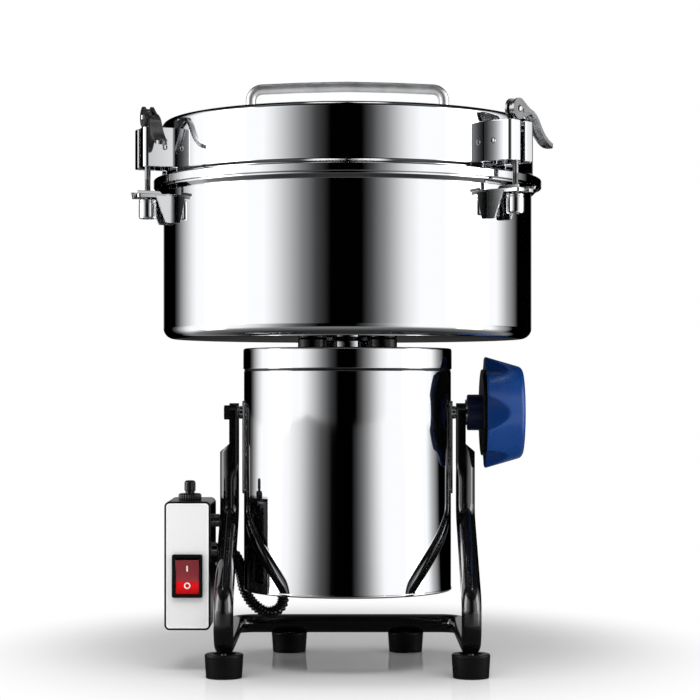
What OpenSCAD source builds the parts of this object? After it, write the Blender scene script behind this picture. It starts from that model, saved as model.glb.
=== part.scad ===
// Swing-type electric coffee grinder: a steel bowl on a motor that tilts between two tube legs.
// Millimetres. Z is up, the floor is z = 0, the front faces -Y and the motor's axis is the Z axis.

/* [Stand] */
// Outside diameter of the bent frame tube
tube_d = 13.3; // [11:0.1:16]
// Height of the tilt pivot above the floor
pivot_z = 176; // [170:1:200]
// Height at which each leg turns forward
leg_bend_z = 105; // [95:1:115]
// Height at which each leg turns straight down
leg_knee_z = 52; // [48:1:58]
// Distance from the motor's axis forward to the front of the legs
leg_reach = 74; // [68:1:84]
// Distance from the motor's axis back to the rear tube
rear_reach = 73; // [66:1:84]
// Centreline radius of the tube's bends
bend_r = 15; // [12:0.5:18]
// Height at which the tube ends and only the flat lug goes on
lug_cut_z = 155; // [150:1:160]
// Gap between a trunnion plate and the lug beside it
side_gap = 2.25; // [1.5:0.05:4]
// Diameter of a rubber foot at its top
foot_d = 26; // [22:0.5:30]
// Diameter of a rubber foot on the floor
foot_base_d = 24; // [20:0.5:28]
// Height of a front foot
front_foot_h = 16; // [15:0.1:18]
// Height of a rear foot
rear_foot_h = 14.6; // [14:0.1:17]
// How deep a rear foot's saddle takes the tube
foot_seat = 0.7; // [0.3:0.1:1.5]
// Distance from the middle to each rear foot
rear_foot_x = 42.6; // [35:0.1:50]
// Diameter of the foot screws
foot_screw_d = 4; // [3:0.5:5]

/* [Motor] */
// Outside radius of the motor casing
case_r = 72.2; // [70:0.1:76]
// Wall of the casing and of the cap
case_wall = 1.2; // [1:0.1:2]
// Depth of the casing's lower edge below the pivot
case_drop = 123; // [118:1:126]
// Height of the seam under the motor cap above the pivot
case_rise = 30; // [26:1:34]
// Height of the motor cap
cap_h = 14.5; // [12:0.5:18]
// How far the cap stands out over the casing
cap_lip = 0.5; // [0.3:0.1:1]
// Thickness of a trunnion plate
trunnion_t = 1.2; // [1:0.1:2]
// Width of a trunnion plate
trunnion_w = 26; // [22:1:32]
// Diameter of the pivot bolt and of the lock stud
pivot_d = 6; // [5:0.5:8]
// Diameter of the motor shaft
shaft_d = 12; // [10:0.5:14]
// Distance from the casing's outside in to the armature
stator_depth = 38.2; // [34:0.1:42]
// Air gap between armature and stator
air_gap = 0.8; // [0.6:0.1:1.2]
// Height of the laminated cores
core_h = 58; // [50:1:64]
// Radius of the commutator
comm_r = 17; // [14:0.5:20]

/* [Bowl] */
// Outside radius of the bowl
bowl_r = 128; // [125:0.5:130]
// Wall of the bowl and the lid
bowl_wall = 1.5; // [1.2:0.1:2]
// Height of the bowl from its floor to the top of its rim
bowl_h = 107; // [102:1:112]
// Gap between the motor cap and the bowl's floor
neck_h = 6.5; // [5:0.1:9]
// Fillet at the bowl's lower edge
bowl_fillet = 7.5; // [5:0.5:10]
// Diameter of the rolled rim
rim_d = 5; // [4:0.1:6]

/* [Lid] */
// How far the lid's flange stands out over the rim
flange_out = 7; // [6:0.5:8]
// Height of the lid's sloped flange
flange_h = 7; // [6:0.5:9]
// Height of the lid
lid_h = 42.5; // [40:0.5:46]
// Fillet at the lid's upper edge
lid_fillet = 6; // [4:0.5:8]
// Outside width of the handle
handle_w = 142; // [120:1:160]
// Diameter of the handle's bar
handle_d = 7.2; // [6:0.1:9]
// Clear height under the handle
handle_clear = 21; // [18:0.5:28]
// How far the handle's bar arches up at its middle
handle_arch = 3; // [1:0.5:6]

/* [Latches] */
// Distance from the bowl's wall out to the latch rods
rod_gap = 15.5; // [14:0.5:18]
// Diameter of a latch rod
rod_d = 4; // [3:0.1:4.6]
// Diameter of the round nut on a rod
nut_d = 12; // [10:0.5:13]
// Height of the round nut
nut_h = 13; // [11:0.5:14]
// Width of a lid bracket
bracket_w = 27; // [25:0.5:34]
// Height of a lid bracket
bracket_h = 27; // [25:0.5:29]
// Sheet thickness of the brackets
bracket_t = 1.5; // [1.2:0.1:2]
// Radius of the cam hub
hub_r = 7; // [6:0.1:7.4]
// Height of the lever's pin above the lid bracket
pin_rise = 7.8; // [7.8:0.1:8.6]
// Diameter of the lever's pin
pin_d = 4; // [3:0.1:4.4]
// Thickness of one cheek of the cam hub
cheek_t = 1.5; // [1.2:0.1:1.8]
// Thickness of the rod's eye
eye_t = 3.6; // [3:0.1:3.8]
// Width of the lever
lever_w = 8; // [7:0.5:9]
// Thickness of the lever
lever_t = 2.6; // [2:0.1:3]

/* [Lock knob] */
// Radius of the knob's wide rim
knob_r = 39; // [36:0.5:42]
// Radius of the knob's front
knob_front_r = 30.5; // [27:0.5:32]
// Depth of the knob's cup
knob_depth = 27.7; // [24:0.1:32]
// Diameter of the knob's hub
knob_hub_d = 25; // [22:0.5:28]
// Length of the knob's hub behind the cup
knob_hub_l = 12.3; // [10:0.1:15]
// Number of finger flutes
flutes = 6; // [5:1:7]
// Thickness of the captive washer
washer_t = 1.2; // [1:0.1:1.6]

/* [Switch box] */
// Width of the switch box
box_w = 31.4; // [28:0.2:36]
// Depth of the switch box
box_d = 60; // [54:1:66]
// Height of the switch box
box_h = 87.3; // [80:0.1:92]
// Height of the switch box above the floor
box_z = 28.7; // [26:0.1:34]
// Distance from the motor's axis forward to the box's front
box_front = 42; // [38:1:46]
// Gap between the left leg and the switch box
box_gap = 3.95; // [3:0.05:6]
// Wall of the switch box
box_wall = 2; // [1.6:0.1:2.6]
// Width of the rocker's bezel
bezel_w = 20.8; // [18:0.1:23]
// Height of the rocker's bezel
bezel_h = 29.4; // [26:0.1:32]
// Height of the rocker's middle above the box's underside
rocker_rise = 36.9; // [30:0.1:50]
// Stroke of the reset button
reset_stroke = 2.5; // [2:0.1:3]
// Outside diameter of the link hose
hose_d = 8.4; // [7:0.1:9]
// Bore of the link hose
hose_bore = 5.6; // [4:0.1:6]
// Bore of the mains lead gland
mains_bore = 7.6; // [6:0.1:9]

/* [Blades] */
// Length of the lower blade from tip to tip
lower_blade_l = 216; // [190:1:222]
// Length of the upper blade from tip to tip
upper_blade_l = 190; // [150:1:210]
// Width of a blade
blade_w = 26; // [20:1:32]
// Thickness of a blade
blade_t = 3; // [2:0.1:4]
// Height between the two blades
blade_gap = 24; // [16:1:32]

/* [Hidden] */
$fn = 72;
round_fn = 96;
small_fn = 32;
fit = 0.05;
skin = 0.3;
eps = 0.01;
lap = 0.6;
lap_step = 0.05;

tube_r = tube_d/2;
leg_x = case_r + trunnion_t + side_gap + tube_r;
lug_in = leg_x - tube_r;
lug_inset = 0.15;
lug_half = tube_r - lug_inset;
rail_z = rear_foot_h - foot_seat + tube_r;
front_foot_y = -leg_reach + bend_r/2;

case_bottom = pivot_z - case_drop;
cap_seam = pivot_z + case_rise;
cap_top = cap_seam + cap_h;
bowl_floor = cap_top + neck_h;
rim_z = bowl_floor + bowl_h;
rim_r = bowl_r + rim_d - bowl_wall;
lid_r = bowl_r + 1;
flange_r = lid_r - 1 + flange_out;
flange_z = rim_z + flange_h;
lid_top = rim_z + lid_h;
gasket_t = 3.4;
buffer_r = 34;
buffer_d = 20;
buffer_angles = [45:90:315];
post_d = 5;
handle_leg_x = (handle_w - handle_d)/2;
handle_bend = 8;
handle_arch_r = 900;
handle_top_z = lid_top + handle_clear + handle_d/2;

trunnion_top = pivot_z + 8;
trunnion_h = 64;
hex_flat = 10;
hex_h = 3.7;
washer_x = leg_x + fit;
hub_x = washer_x + washer_t;
cup_x = hub_x + knob_hub_l - 0.3;
disc_t = 2.2;
stud_end = cup_x + 10;

latch_angles = [-70, 50, 170];
rod_reach = bowl_r + rod_gap;
bracket_top = flange_z + bracket_h;
bracket_out = rod_reach + 6;
slot_w = rod_d + 1.4;
pin_z = bracket_top + pin_rise;
shelf_top = rim_z - 10.5;
shelf_t = 2.5;
shelf_out = rod_reach + 9;
shelf_w = 18;
gusset_y = nut_d/2 + 2.2;
gusset_h = 17;
nut_top = shelf_top - shelf_t - 0.9;
rod_bottom = nut_top - nut_h + 1;
lever_hump = [[4, -1], [11, -0.4], [17, -1], [21, -7]];
lever_tail = [[21, -7], [25, -13], [30, -20], [40, -21.5]];
lever_steps = 8;
lever_end = 40;
lever_hole_d = 2.6;

box_right = -(leg_x + tube_r + box_gap);
box_left = box_right - box_w;
box_mid = (box_left + box_right)/2;
box_top = box_z + box_h;
box_r = 3.5;
panel_inset = 1.4;
panel_t = 1.5;
rocker_z = box_z + rocker_rise;
rocker_w = bezel_w - 4.8;
rocker_h = bezel_h - 4.6;
rocker_axle_d = 2.4;
rocker_axle_y = -box_front + 5;
reset_y = -box_front + 24;
reset_d = 7.7;
reset_nut_d = 16;
reset_nut_h = 4.4;
reset_h = 9;
mains_y = -box_front + box_d;
mains_z = box_z + 20;
mains_hex = 17;
mains_d = 14;
breaker_d = 20;
breaker_h = 26;
breaker_neck_d = 10;
plunger_depth = 14;

slope = atan((leg_bend_z - leg_knee_z)/leg_reach);
leg_y_at = function (z) -(leg_bend_z - z)/tan(slope);
standoff_d = 4;
standoff_zs = [leg_bend_z - 4, leg_bend_z - 22];

shaft_r = shaft_d/2;
bearing_h = 11;
bearing_r = 17.5;
armature_r = case_r - stator_depth;
vent_in = bearing_r + 16.5;
vent_out = case_r - 16.2;
vent_w = 4;
core_z = case_bottom + 58;
bore_r = armature_r + air_gap;
window_r = case_r - 12;
coil_r = window_r - 1;
coil_in = bore_r + 4;
coil_end_h = 9;
comm_h = 20;
winding_h = 14;
comm_z = core_z - winding_h - comm_h - 1;
lower_bearing_z = case_bottom + 8;
upper_bearing_z = cap_top - 2 - bearing_h;
fan_z = core_z + core_h + 16;
fan_h = 14;
fan_r = case_r - 20.2;
seal_h = 8;
lower_blade_z = bowl_floor + bowl_wall + seal_h + 1.5;
upper_blade_z = lower_blade_z + blade_t + blade_gap;
shaft_top = upper_blade_z + blade_t + 12;
shaft_step = lower_blade_z;
blade_bore_r = shaft_r - 1;

hose_x = box_right + 3.5;
hose_z = box_z + 48.3;
gland_x = -case_r + 26.2;
gland_z = case_bottom - 4;
hose_points = [[hose_x, 10, hose_z], [hose_x + 8.4, 10, hose_z], [hose_x + 12.8, 14, hose_z - 7],
    [hose_x + 14.4, 20, hose_z - 16], [hose_x + 16.4, 24, gland_z + 1], [hose_x + 22.4, 25, gland_z - 9],
    [gland_x - 12, 25, gland_z - 15], [gland_x - 4, 24.5, gland_z - 13.4], [gland_x, 24, gland_z - 8],
    [gland_x, 24, gland_z]];
hose_from = hose_points[0];
hose_to = hose_points[len(hose_points) - 1];
hose_ribs = 40;

steel = [0.82, 0.83, 0.85];
dark_steel = [0.35, 0.35, 0.37];
gloss_black = [0.04, 0.04, 0.045];
rubber = [0.07, 0.07, 0.07];
copper = [0.72, 0.4, 0.22];
brass = [0.8, 0.65, 0.3];

// A ring or a tube about Z, from z0 up
module ring(r_out, r_in, z0, h, facets = round_fn) {
    translate([0, 0, z0])
        difference() {
            cylinder(r = r_out, h = h, $fn = facets);
            translate([0, 0, -1])
                cylinder(r = r_in, h = h + 2, $fn = facets);
        }
}

// A round bar about the X axis, from x0 to x1 at height z
module bar_x(d, x0, x1, y = 0, z = 0, facets = small_fn) {
    translate([x0, y, z])
        rotate([0, 90, 0])
            cylinder(d = d, h = x1 - x0, $fn = facets);
}

// A solid cup of radius r and height h about Z whose lower edge is rounded
module round_cup(r, h, fillet) {
    translate([0, 0, fillet])
        cylinder(r = r, h = h - fillet, $fn = round_fn);
    cylinder(r = r - fillet, h = h, $fn = round_fn);
    translate([0, 0, fillet])
        rotate_extrude($fn = round_fn)
            translate([r - fillet, 0])
                circle(r = fillet, $fn = 48);
}

heading = function (a, b) atan2(b[1] - a[1], b[0] - a[0]);
wrap = function (a) a > 180 ? a - 360 : a < -180 ? a + 360 : a;

// A tube bent in the XY plane: straight runs between the points, and an arc at each inner one, whose
// radius is that point's entry in bends
module bent_bar(points, bends, d) {
    last = len(points) - 1;
    turn = [for (i = [0:last]) (i == 0 || i == last) ? 0
        : wrap(heading(points[i], points[i + 1]) - heading(points[i - 1], points[i]))];
    cut = [for (i = [0:last]) bends[i]*tan(abs(turn[i])/2)];
    for (i = [0:last - 1]) {
        along = heading(points[i], points[i + 1]);
        lap_in = i == 0 ? 0 : lap;
        lap_out = i == last - 1 ? 0 : lap;
        run = norm(points[i + 1] - points[i]) - cut[i] - cut[i + 1];
        if (run > eps)
            translate([points[i][0], points[i][1], 0])
                rotate([0, 0, along])
                    translate([cut[i] - lap_in, 0, 0])
                        rotate([0, 90, 0])
                            cylinder(d = d - 2*lap_step, h = run + lap_in + lap_out, $fn = small_fn);
    }
    for (i = [1:last - 1]) {
        along = heading(points[i - 1], points[i]);
        side = turn[i] > 0 ? 1 : -1;
        start = points[i] - cut[i]*[cos(along), sin(along)];
        centre = start + bends[i]*side*[-sin(along), cos(along)];
        first = side > 0 ? along - 90 : along + 90 - abs(turn[i]);
        translate([centre[0], centre[1], 0])
            rotate([0, 0, first])
                rotate_extrude(angle = abs(turn[i]), $fn = bends[i] > 100 ? 720 : round_fn)
                    translate([bends[i], 0])
                        circle(d = d, $fn = small_fn);
    }
}

// Turns a drawing in XY into the YZ plane at x
module in_side_plane(x) {
    translate([x, 0, 0])
        rotate([90, 0, 90])
            children();
}

module side_path(d) {
    bent_bar([[0, lug_cut_z], [0, leg_bend_z], [-leg_reach, leg_knee_z], [-leg_reach, rail_z],
        [rear_reach - bend_r, rail_z]], [0, bend_r, bend_r, bend_r, 0], d);
}

// One leg of the frame with its base rail; side is -1 on the left and 1 on the right
module side_tube(side) {
    color(gloss_black)
        mirror([side < 0 ? 1 : 0, 0, 0])
            difference() {
                union() {
                    difference() {
                        in_side_plane(leg_x)
                            side_path(tube_d);
                        translate([leg_x - 1, -tube_d, lug_cut_z])
                            rotate([0, 40, 0])
                                cube([2*tube_d, 2*tube_d, 2*tube_d]);
                    }
                    in_side_plane(lug_in + lug_inset)
                        linear_extrude(tube_r - lug_inset) {
                            translate([-lug_half, lug_cut_z - 14])
                                square([2*lug_half, pivot_z - lug_cut_z + 14]);
                            translate([0, pivot_z])
                                circle(r = lug_half, $fn = 48);
                        }
                }
                bar_x(pivot_d + 2*fit, lug_in - 1, leg_x + 1, 0, pivot_z);
            }
}

module left_side_tube() {
    difference() {
        side_tube(-1);
        standoff_bores();
        left_foot_screw_bore();
    }
}
module right_side_tube() {
    difference() {
        side_tube(1);
        mirror([1, 0, 0])
            left_foot_screw_bore();
    }
}
module left_foot_screw_bore() {
    translate([-leg_x, front_foot_y, 0])
        cylinder(d = foot_screw_d, h = rail_z + 2, $fn = small_fn);
}
module standoff_bores() {
    for (z = standoff_zs)
        bar_x(standoff_d, -leg_x - tube_d, -leg_x + 2, leg_y_at(z), z);
}

module rear_path(d) {
    corner = rear_reach - bend_r;
    translate([0, 0, rail_z])
        bent_bar([[-leg_x, corner], [-leg_x, rear_reach], [leg_x, rear_reach], [leg_x, corner]],
            [0, bend_r, bend_r, 0], d);
}
module rear_cross_tube() {
    color(gloss_black)
        difference() {
            rear_path(tube_d);
            for (side = [-1, 1])
                translate([side*rear_foot_x, rear_reach, 0])
                    cylinder(d = foot_screw_d, h = rail_z + 2, $fn = small_fn);
        }
}

// A conical rubber foot with a countersunk hole from below
module foot(h) {
    color(rubber)
        difference() {
            union() {
                cylinder(d1 = foot_base_d, d2 = foot_d, h = h - 1.5, $fn = 48);
                translate([0, 0, h - 1.5])
                    cylinder(d1 = foot_d, d2 = foot_d - 2, h = 1.5, $fn = 48);
            }
            translate([0, 0, -1])
                cylinder(d = foot_screw_d + 2*fit, h = h + 2, $fn = small_fn);
            translate([0, 0, -1])
                cylinder(d = 2*foot_screw_d + 0.5, h = 1 + h/3, $fn = small_fn);
        }
}
module front_feet() {
    for (side = [-1, 1])
        difference() {
            translate([side*leg_x, front_foot_y, 0])
                foot(front_foot_h);
            in_side_plane(side*leg_x)
                side_path(tube_d + 2*fit);
        }
}
module rear_feet() {
    difference() {
        for (side = [-1, 1])
            translate([side*rear_foot_x, rear_reach, 0])
                foot(rear_foot_h);
        rear_path(tube_d + 2*fit);
    }
}
module foot_screws() {
    for (place = [[-leg_x, front_foot_y, front_foot_h], [leg_x, front_foot_y, front_foot_h],
        [-rear_foot_x, rear_reach, rear_foot_h], [rear_foot_x, rear_reach, rear_foot_h]])
        color(steel)
            translate([place[0], place[1], place[2]/3 - 2.4])
                difference() {
                    union() {
                        cylinder(d = 2*foot_screw_d, h = 2.4, $fn = small_fn);
                        cylinder(d = foot_screw_d, h = rail_z - place[2]/3 + 4, $fn = small_fn);
                    }
                    translate([-0.5, -3, -1])
                        cube([1, 6, 2]);
                    translate([-3, -0.5, -1])
                        cube([6, 1, 2]);
                }
}

// A block with all four edges along Y rounded
module slab_y(w, d, h, r) {
    rotate([90, 0, 0])
        translate([0, 0, -d])
            linear_extrude(d)
                union() {
                    translate([r, 0])
                        square([w - 2*r, h]);
                    translate([0, r])
                        square([w, h - 2*r]);
                    for (x = [r, w - r], z = [r, h - r])
                        translate([x, z])
                            circle(r = r, $fn = small_fn);
                }
}
module switch_box_body() {
    color(gloss_black)
        difference() {
            translate([box_left, -box_front, box_z])
                slab_y(box_w, box_d, box_h, box_r);
            translate([box_left + box_wall, -box_front + panel_t + 1, box_z + box_wall])
                slab_y(box_w - 2*box_wall, box_d - panel_t - 1 - box_wall, box_h - 2*box_wall, 2);
            translate([box_left + panel_inset, -box_front - 1, box_z + panel_inset])
                slab_y(box_w - 2*panel_inset, panel_t + 2 + eps, box_h - 2*panel_inset, box_r - 1);
            translate([box_mid, reset_y, box_top - 2*box_wall])
                cylinder(d = 10, h = 4*box_wall, $fn = small_fn);
            translate([box_mid, mains_y - 2*box_wall, mains_z])
                rotate([-90, 0, 0])
                    cylinder(d = mains_bore + 4.4, h = 4*box_wall, $fn = small_fn);
            bar_x(hose_d + 3, box_right - 2*box_wall, box_right + 1, hose_from[1], hose_from[2]);
            for (z = standoff_zs)
                bar_x(standoff_d, box_right - 2*box_wall, box_right + 1, leg_y_at(z), z);
        }
}
module switch_box_panel() {
    color([0.9, 0.9, 0.9])
        difference() {
            translate([box_left + panel_inset + fit, -box_front - 0.2, box_z + panel_inset + fit])
                slab_y(box_w - 2*panel_inset - 2*fit, panel_t + 1 + 0.2, box_h - 2*panel_inset - 2*fit,
                    box_r - 1);
            translate([box_mid - bezel_w/2 + 1.2, -box_front - 2, rocker_z - bezel_h/2 + 1.2])
                cube([bezel_w - 2.4, panel_t + 4, bezel_h - 2.4]);
        }
}
module box_standoffs() {
    color(dark_steel)
        for (z = standoff_zs) {
            y = leg_y_at(z);
            difference() {
                bar_x(9, box_right + fit, box_right + box_gap - fit, y, z);
                bar_x(standoff_d + 2*fit, box_right - 1, box_right + box_gap + 1, y, z);
            }
            bar_x(standoff_d - 2*fit, box_right - box_wall - 1, -leg_x + 1, y, z);
            bar_x(7, box_right - box_wall - 3, box_right - box_wall - fit, y, z);
        }
}

module rocker_housing() {
    color(gloss_black)
        difference() {
            union() {
                translate([box_mid - bezel_w/2, -box_front - 2.2, rocker_z - bezel_h/2])
                    slab_y(bezel_w, 2, bezel_h, 1.5);
                translate([box_mid - bezel_w/2 + 1.3, -box_front - 1, rocker_z - bezel_h/2 + 1.3])
                    cube([bezel_w - 2.6, 20, bezel_h - 2.6]);
                for (dz = [-8, 0, 8])
                    translate([box_mid - 3, -box_front + 18, rocker_z + dz - 0.4])
                        cube([6, 9, 0.8]);
            }
            translate([box_mid - rocker_w/2 - skin, -box_front - 3, rocker_z - rocker_h/2 - skin])
                cube([rocker_w + 2*skin, 15, rocker_h + 2*skin]);
            bar_x(rocker_axle_d, box_mid - rocker_w/2 - 1.8, box_mid + rocker_w/2 + 1.8, rocker_axle_y,
                rocker_z, 24);
        }
}
// Rocker with its two axle stubs, drawn rocked to one side about its axle
module rocker() {
    color([0.75, 0.05, 0.05]) {
        bar_x(rocker_axle_d - 2*fit, box_mid - rocker_w/2 - 1.5, box_mid + rocker_w/2 + 1.5,
            rocker_axle_y, rocker_z, 24);
        translate([box_mid - rocker_w/2, rocker_axle_y, rocker_z])
            rotate([6, 0, 0])
                rotate([90, 0, 90])
                    linear_extrude(rocker_w)
                        polygon([[4, -3], [-3, -rocker_h/2 + 1.2], [-7.4, -rocker_h/2 + 0.6],
                            [-6, 0], [-7.4, rocker_h/2 - 0.6], [-3, rocker_h/2 - 1.2], [4, 3]]);
    }
}
module breaker_body() {
    color(gloss_black)
        translate([box_mid, reset_y, 0])
            difference() {
                union() {
                    translate([0, 0, box_top - box_wall - breaker_h])
                        cylinder(d = breaker_d, h = breaker_h - fit, $fn = small_fn);
                    translate([0, 0, box_top - box_wall - 1])
                        cylinder(d = breaker_neck_d - 2*fit, h = box_wall + 1 + reset_nut_h - 0.6,
                            $fn = small_fn);
                }
                translate([0, 0, box_top - plunger_depth])
                    cylinder(d = reset_d + 2*fit, h = 30, $fn = small_fn);
            }
}
module reset_nut() {
    color(gloss_black)
        translate([box_mid, reset_y, box_top + fit])
            difference() {
                cylinder(d = reset_nut_d, h = reset_nut_h, $fn = small_fn);
                translate([0, 0, -1])
                    cylinder(d = breaker_neck_d, h = reset_nut_h + 2, $fn = small_fn);
            }
}
module reset_button() {
    color(gloss_black)
        translate([box_mid, reset_y, 0]) {
            translate([0, 0, box_top - plunger_depth + reset_stroke + 1])
                cylinder(d = reset_d, $fn = small_fn,
                    h = plunger_depth - reset_stroke - 1 + reset_nut_h + reset_h - reset_d/2);
            translate([0, 0, box_top + reset_nut_h + reset_h - reset_d/2])
                sphere(d = reset_d, $fn = small_fn);
        }
}
module mains_gland() {
    color(gloss_black)
        translate([box_mid, mains_y, mains_z])
            rotate([-90, 0, 0])
                difference() {
                    union() {
                        translate([0, 0, fit])
                            cylinder(d = mains_hex, h = 5, $fn = 6);
                        translate([0, 0, 5])
                            cylinder(d = mains_d, h = 7, $fn = small_fn);
                        translate([0, 0, -box_wall - 4])
                            cylinder(d = mains_bore + 4.4 - 2*fit, h = box_wall + 6, $fn = small_fn);
                        translate([0, 0, -box_wall - 4])
                            cylinder(d = mains_hex - 1, h = 4 - fit, $fn = small_fn);
                    }
                    translate([0, 0, -box_wall - 6])
                        cylinder(d = mains_bore, h = box_wall + 24, $fn = small_fn);
                }
}
module box_hose_gland() {
    color(gloss_black)
        difference() {
            union() {
                bar_x(hose_d + 5, box_right + fit, hose_from[0], hose_from[1], hose_from[2]);
                bar_x(hose_d + 3 - 2*fit, box_right - box_wall - 2, box_right + 1,
                    hose_from[1], hose_from[2]);
            }
            bar_x(hose_bore, box_right - box_wall - 3, hose_from[0] + 1, hose_from[1], hose_from[2]);
        }
}

// A point on the smooth curve through pts, where u runs from 0 to the last index
spline = function (pts, u)
    let (last = len(pts) - 1, i = min(floor(u), last - 1), t = u - i,
        a = pts[max(i - 1, 0)], b = pts[i], c = pts[i + 1], d = pts[min(i + 2, last)])
    0.5*(2*b + (c - a)*t + (2*a - 5*b + 4*c - d)*t*t + (3*b - a - 3*c + d)*t*t*t);
unit = function (v) v/norm(v);
ring_points = function (centre, along, r, sides)
    let (v = [0, 1, 0], w = unit(cross(along, v)))
    [for (k = [0:sides - 1]) centre + r*cos(360*k/sides)*v + r*sin(360*k/sides)*w];

// A ribbed hose with a bore; each rib is two rings of eight sides
module link_hose() {
    sides = 8;
    rings = 2*hose_ribs;
    last = len(hose_points) - 1;
    centres = [for (i = [0:rings - 1]) spline(hose_points, last*i/(rings - 1))];
    along = [for (i = [0:rings - 1]) i == 0 ? [1, 0, 0] : i == rings - 1 ? [0, 0, 1]
        : unit(centres[i + 1] - centres[i - 1])];
    corner = 1/cos(180/sides);
    outer = [for (i = [0:rings - 1]) each ring_points(centres[i], along[i],
        (hose_d/2 - (i % 2 == 0 ? 0.9 : 0))*corner, sides)];
    inner = [for (i = [0:rings - 1]) each ring_points(centres[i], along[i], hose_bore/2, sides)];
    count = rings*sides;
    at = function (i, k) i*sides + k % sides;
    quads = [
        for (i = [0:rings - 2], k = [0:sides - 1]) [at(i, k), at(i, k + 1), at(i + 1, k + 1), at(i + 1, k)],
        for (i = [0:rings - 2], k = [0:sides - 1])
            [count + at(i, k), count + at(i + 1, k), count + at(i + 1, k + 1), count + at(i, k + 1)],
        for (k = [0:sides - 1]) [at(0, k), count + at(0, k), count + at(0, k + 1), at(0, k + 1)],
        for (k = [0:sides - 1]) [at(rings - 1, k), at(rings - 1, k + 1), count + at(rings - 1, k + 1),
            count + at(rings - 1, k)]];
    color(gloss_black)
        polyhedron(concat(outer, inner), [for (q = quads) each [[q[0], q[1], q[2]], [q[0], q[2], q[3]]]]);
}

module bowl() {
    color(steel)
        difference() {
            union() {
                translate([0, 0, bowl_floor])
                    round_cup(bowl_r, bowl_h - rim_d/2, bowl_fillet);
                translate([0, 0, rim_z - rim_d/2])
                    rotate_extrude($fn = round_fn)
                        translate([rim_r - rim_d/2, 0])
                            circle(d = rim_d, $fn = small_fn);
                ring(rim_r - rim_d/2, bowl_r - bowl_wall, rim_z - bowl_wall, bowl_wall);
            }
            translate([0, 0, bowl_floor + bowl_wall])
                round_cup(bowl_r - bowl_wall, bowl_h + 10, bowl_fillet - bowl_wall);
            translate([0, 0, bowl_floor - 1])
                cylinder(r = bearing_r - 1, h = bowl_wall + 2, $fn = 48);
            for (a = buffer_angles)
                rotate([0, 0, a])
                    translate([buffer_r, 0, bowl_floor - 1])
                        cylinder(d = post_d, h = bowl_wall + 2, $fn = small_fn);
        }
}

// Places its children at a latch, where X points out and Y along the rim
module at_latch(angle) {
    rotate([0, 0, angle - 90])
        children();
}
module catch_brackets() {
    color(steel)
        for (angle = latch_angles)
            at_latch(angle)
                difference() {
                    union() {
                        translate([bowl_r - 3, -shelf_w/2, shelf_top - shelf_t])
                            cube([shelf_out - bowl_r + 3, shelf_w, shelf_t]);
                        for (side = [-1, 1]) {
                            translate([rod_reach - 8, side*(shelf_w/2 - bracket_t/2) - bracket_t/2,
                                shelf_top - eps])
                                cube([shelf_out - rod_reach + 8, bracket_t, 2]);
                            translate([0, side*(gusset_y + bracket_t/2) + bracket_t/2, 0])
                                rotate([90, 0, 0])
                                    linear_extrude(bracket_t)
                                        polygon([[bowl_r - 3, shelf_top - eps],
                                            [rod_reach - 3, shelf_top - eps],
                                            [bowl_r + 5, shelf_top - shelf_t - gusset_h],
                                            [bowl_r - 3, shelf_top - shelf_t - gusset_h]]);
                        }
                    }
                    translate([0, 0, bowl_floor])
                        cylinder(r = bowl_r, h = bowl_h, $fn = round_fn);
                    translate([rod_reach, 0, rim_z - 30])
                        cylinder(d = slot_w, h = 40, $fn = small_fn);
                    translate([rod_reach, -slot_w/2, rim_z - 30])
                        cube([20, slot_w, 40]);
                }
}

// The lid's outer shape, shrunk by inset for the inside
module lid_form(inset) {
    below = inset > 0 ? 1 : 0;
    translate([0, 0, rim_z - below])
        cylinder(r1 = flange_r - inset + below*(flange_out - 1)/flange_h, r2 = lid_r - inset,
            h = flange_h + below, $fn = round_fn);
    translate([0, 0, flange_z - eps])
        cylinder(r = lid_r - inset, h = lid_h - flange_h - lid_fillet + eps, $fn = round_fn);
    translate([0, 0, lid_top - lid_fillet])
        rotate_extrude($fn = round_fn)
            translate([lid_r - lid_fillet, 0])
                circle(r = lid_fillet - inset, $fn = 48);
    translate([0, 0, lid_top - lid_fillet - eps])
        cylinder(r = lid_r - lid_fillet, h = lid_fillet - inset + eps, $fn = round_fn);
}
module lid() {
    color(steel)
        difference() {
            lid_form(0);
            lid_form(bowl_wall);
            for (side = [-1, 1])
                translate([side*handle_leg_x, 0, lid_top - 3])
                    cylinder(d = post_d, h = 4, $fn = small_fn);
        }
}
module lid_gasket() {
    color([0.9, 0.9, 0.88])
        ring(bowl_r + 2, bowl_r - bowl_wall, rim_z + fit, gasket_t);
}

module lid_handle() {
    color(steel) {
        rotate([90, 0, 0])
            bent_bar([[-handle_leg_x, lid_top], [-handle_leg_x, handle_top_z],
                [0, handle_top_z + handle_arch], [handle_leg_x, handle_top_z], [handle_leg_x, lid_top]],
                [0, handle_bend, handle_arch_r, handle_bend, 0], handle_d);
        for (side = [-1, 1])
            translate([side*handle_leg_x, 0, lid_top - 8])
                cylinder(d = post_d - 2*fit, h = 8 + eps, $fn = small_fn);
    }
}
module handle_nuts() {
    color(steel)
        for (side = [-1, 1])
            translate([side*handle_leg_x, 0, lid_top - bowl_wall - 4 - fit])
                difference() {
                    cylinder(d = 9.2, h = 4, $fn = 6);
                    translate([0, 0, -1])
                        cylinder(d = post_d, h = 6, $fn = small_fn);
                }
}

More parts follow.
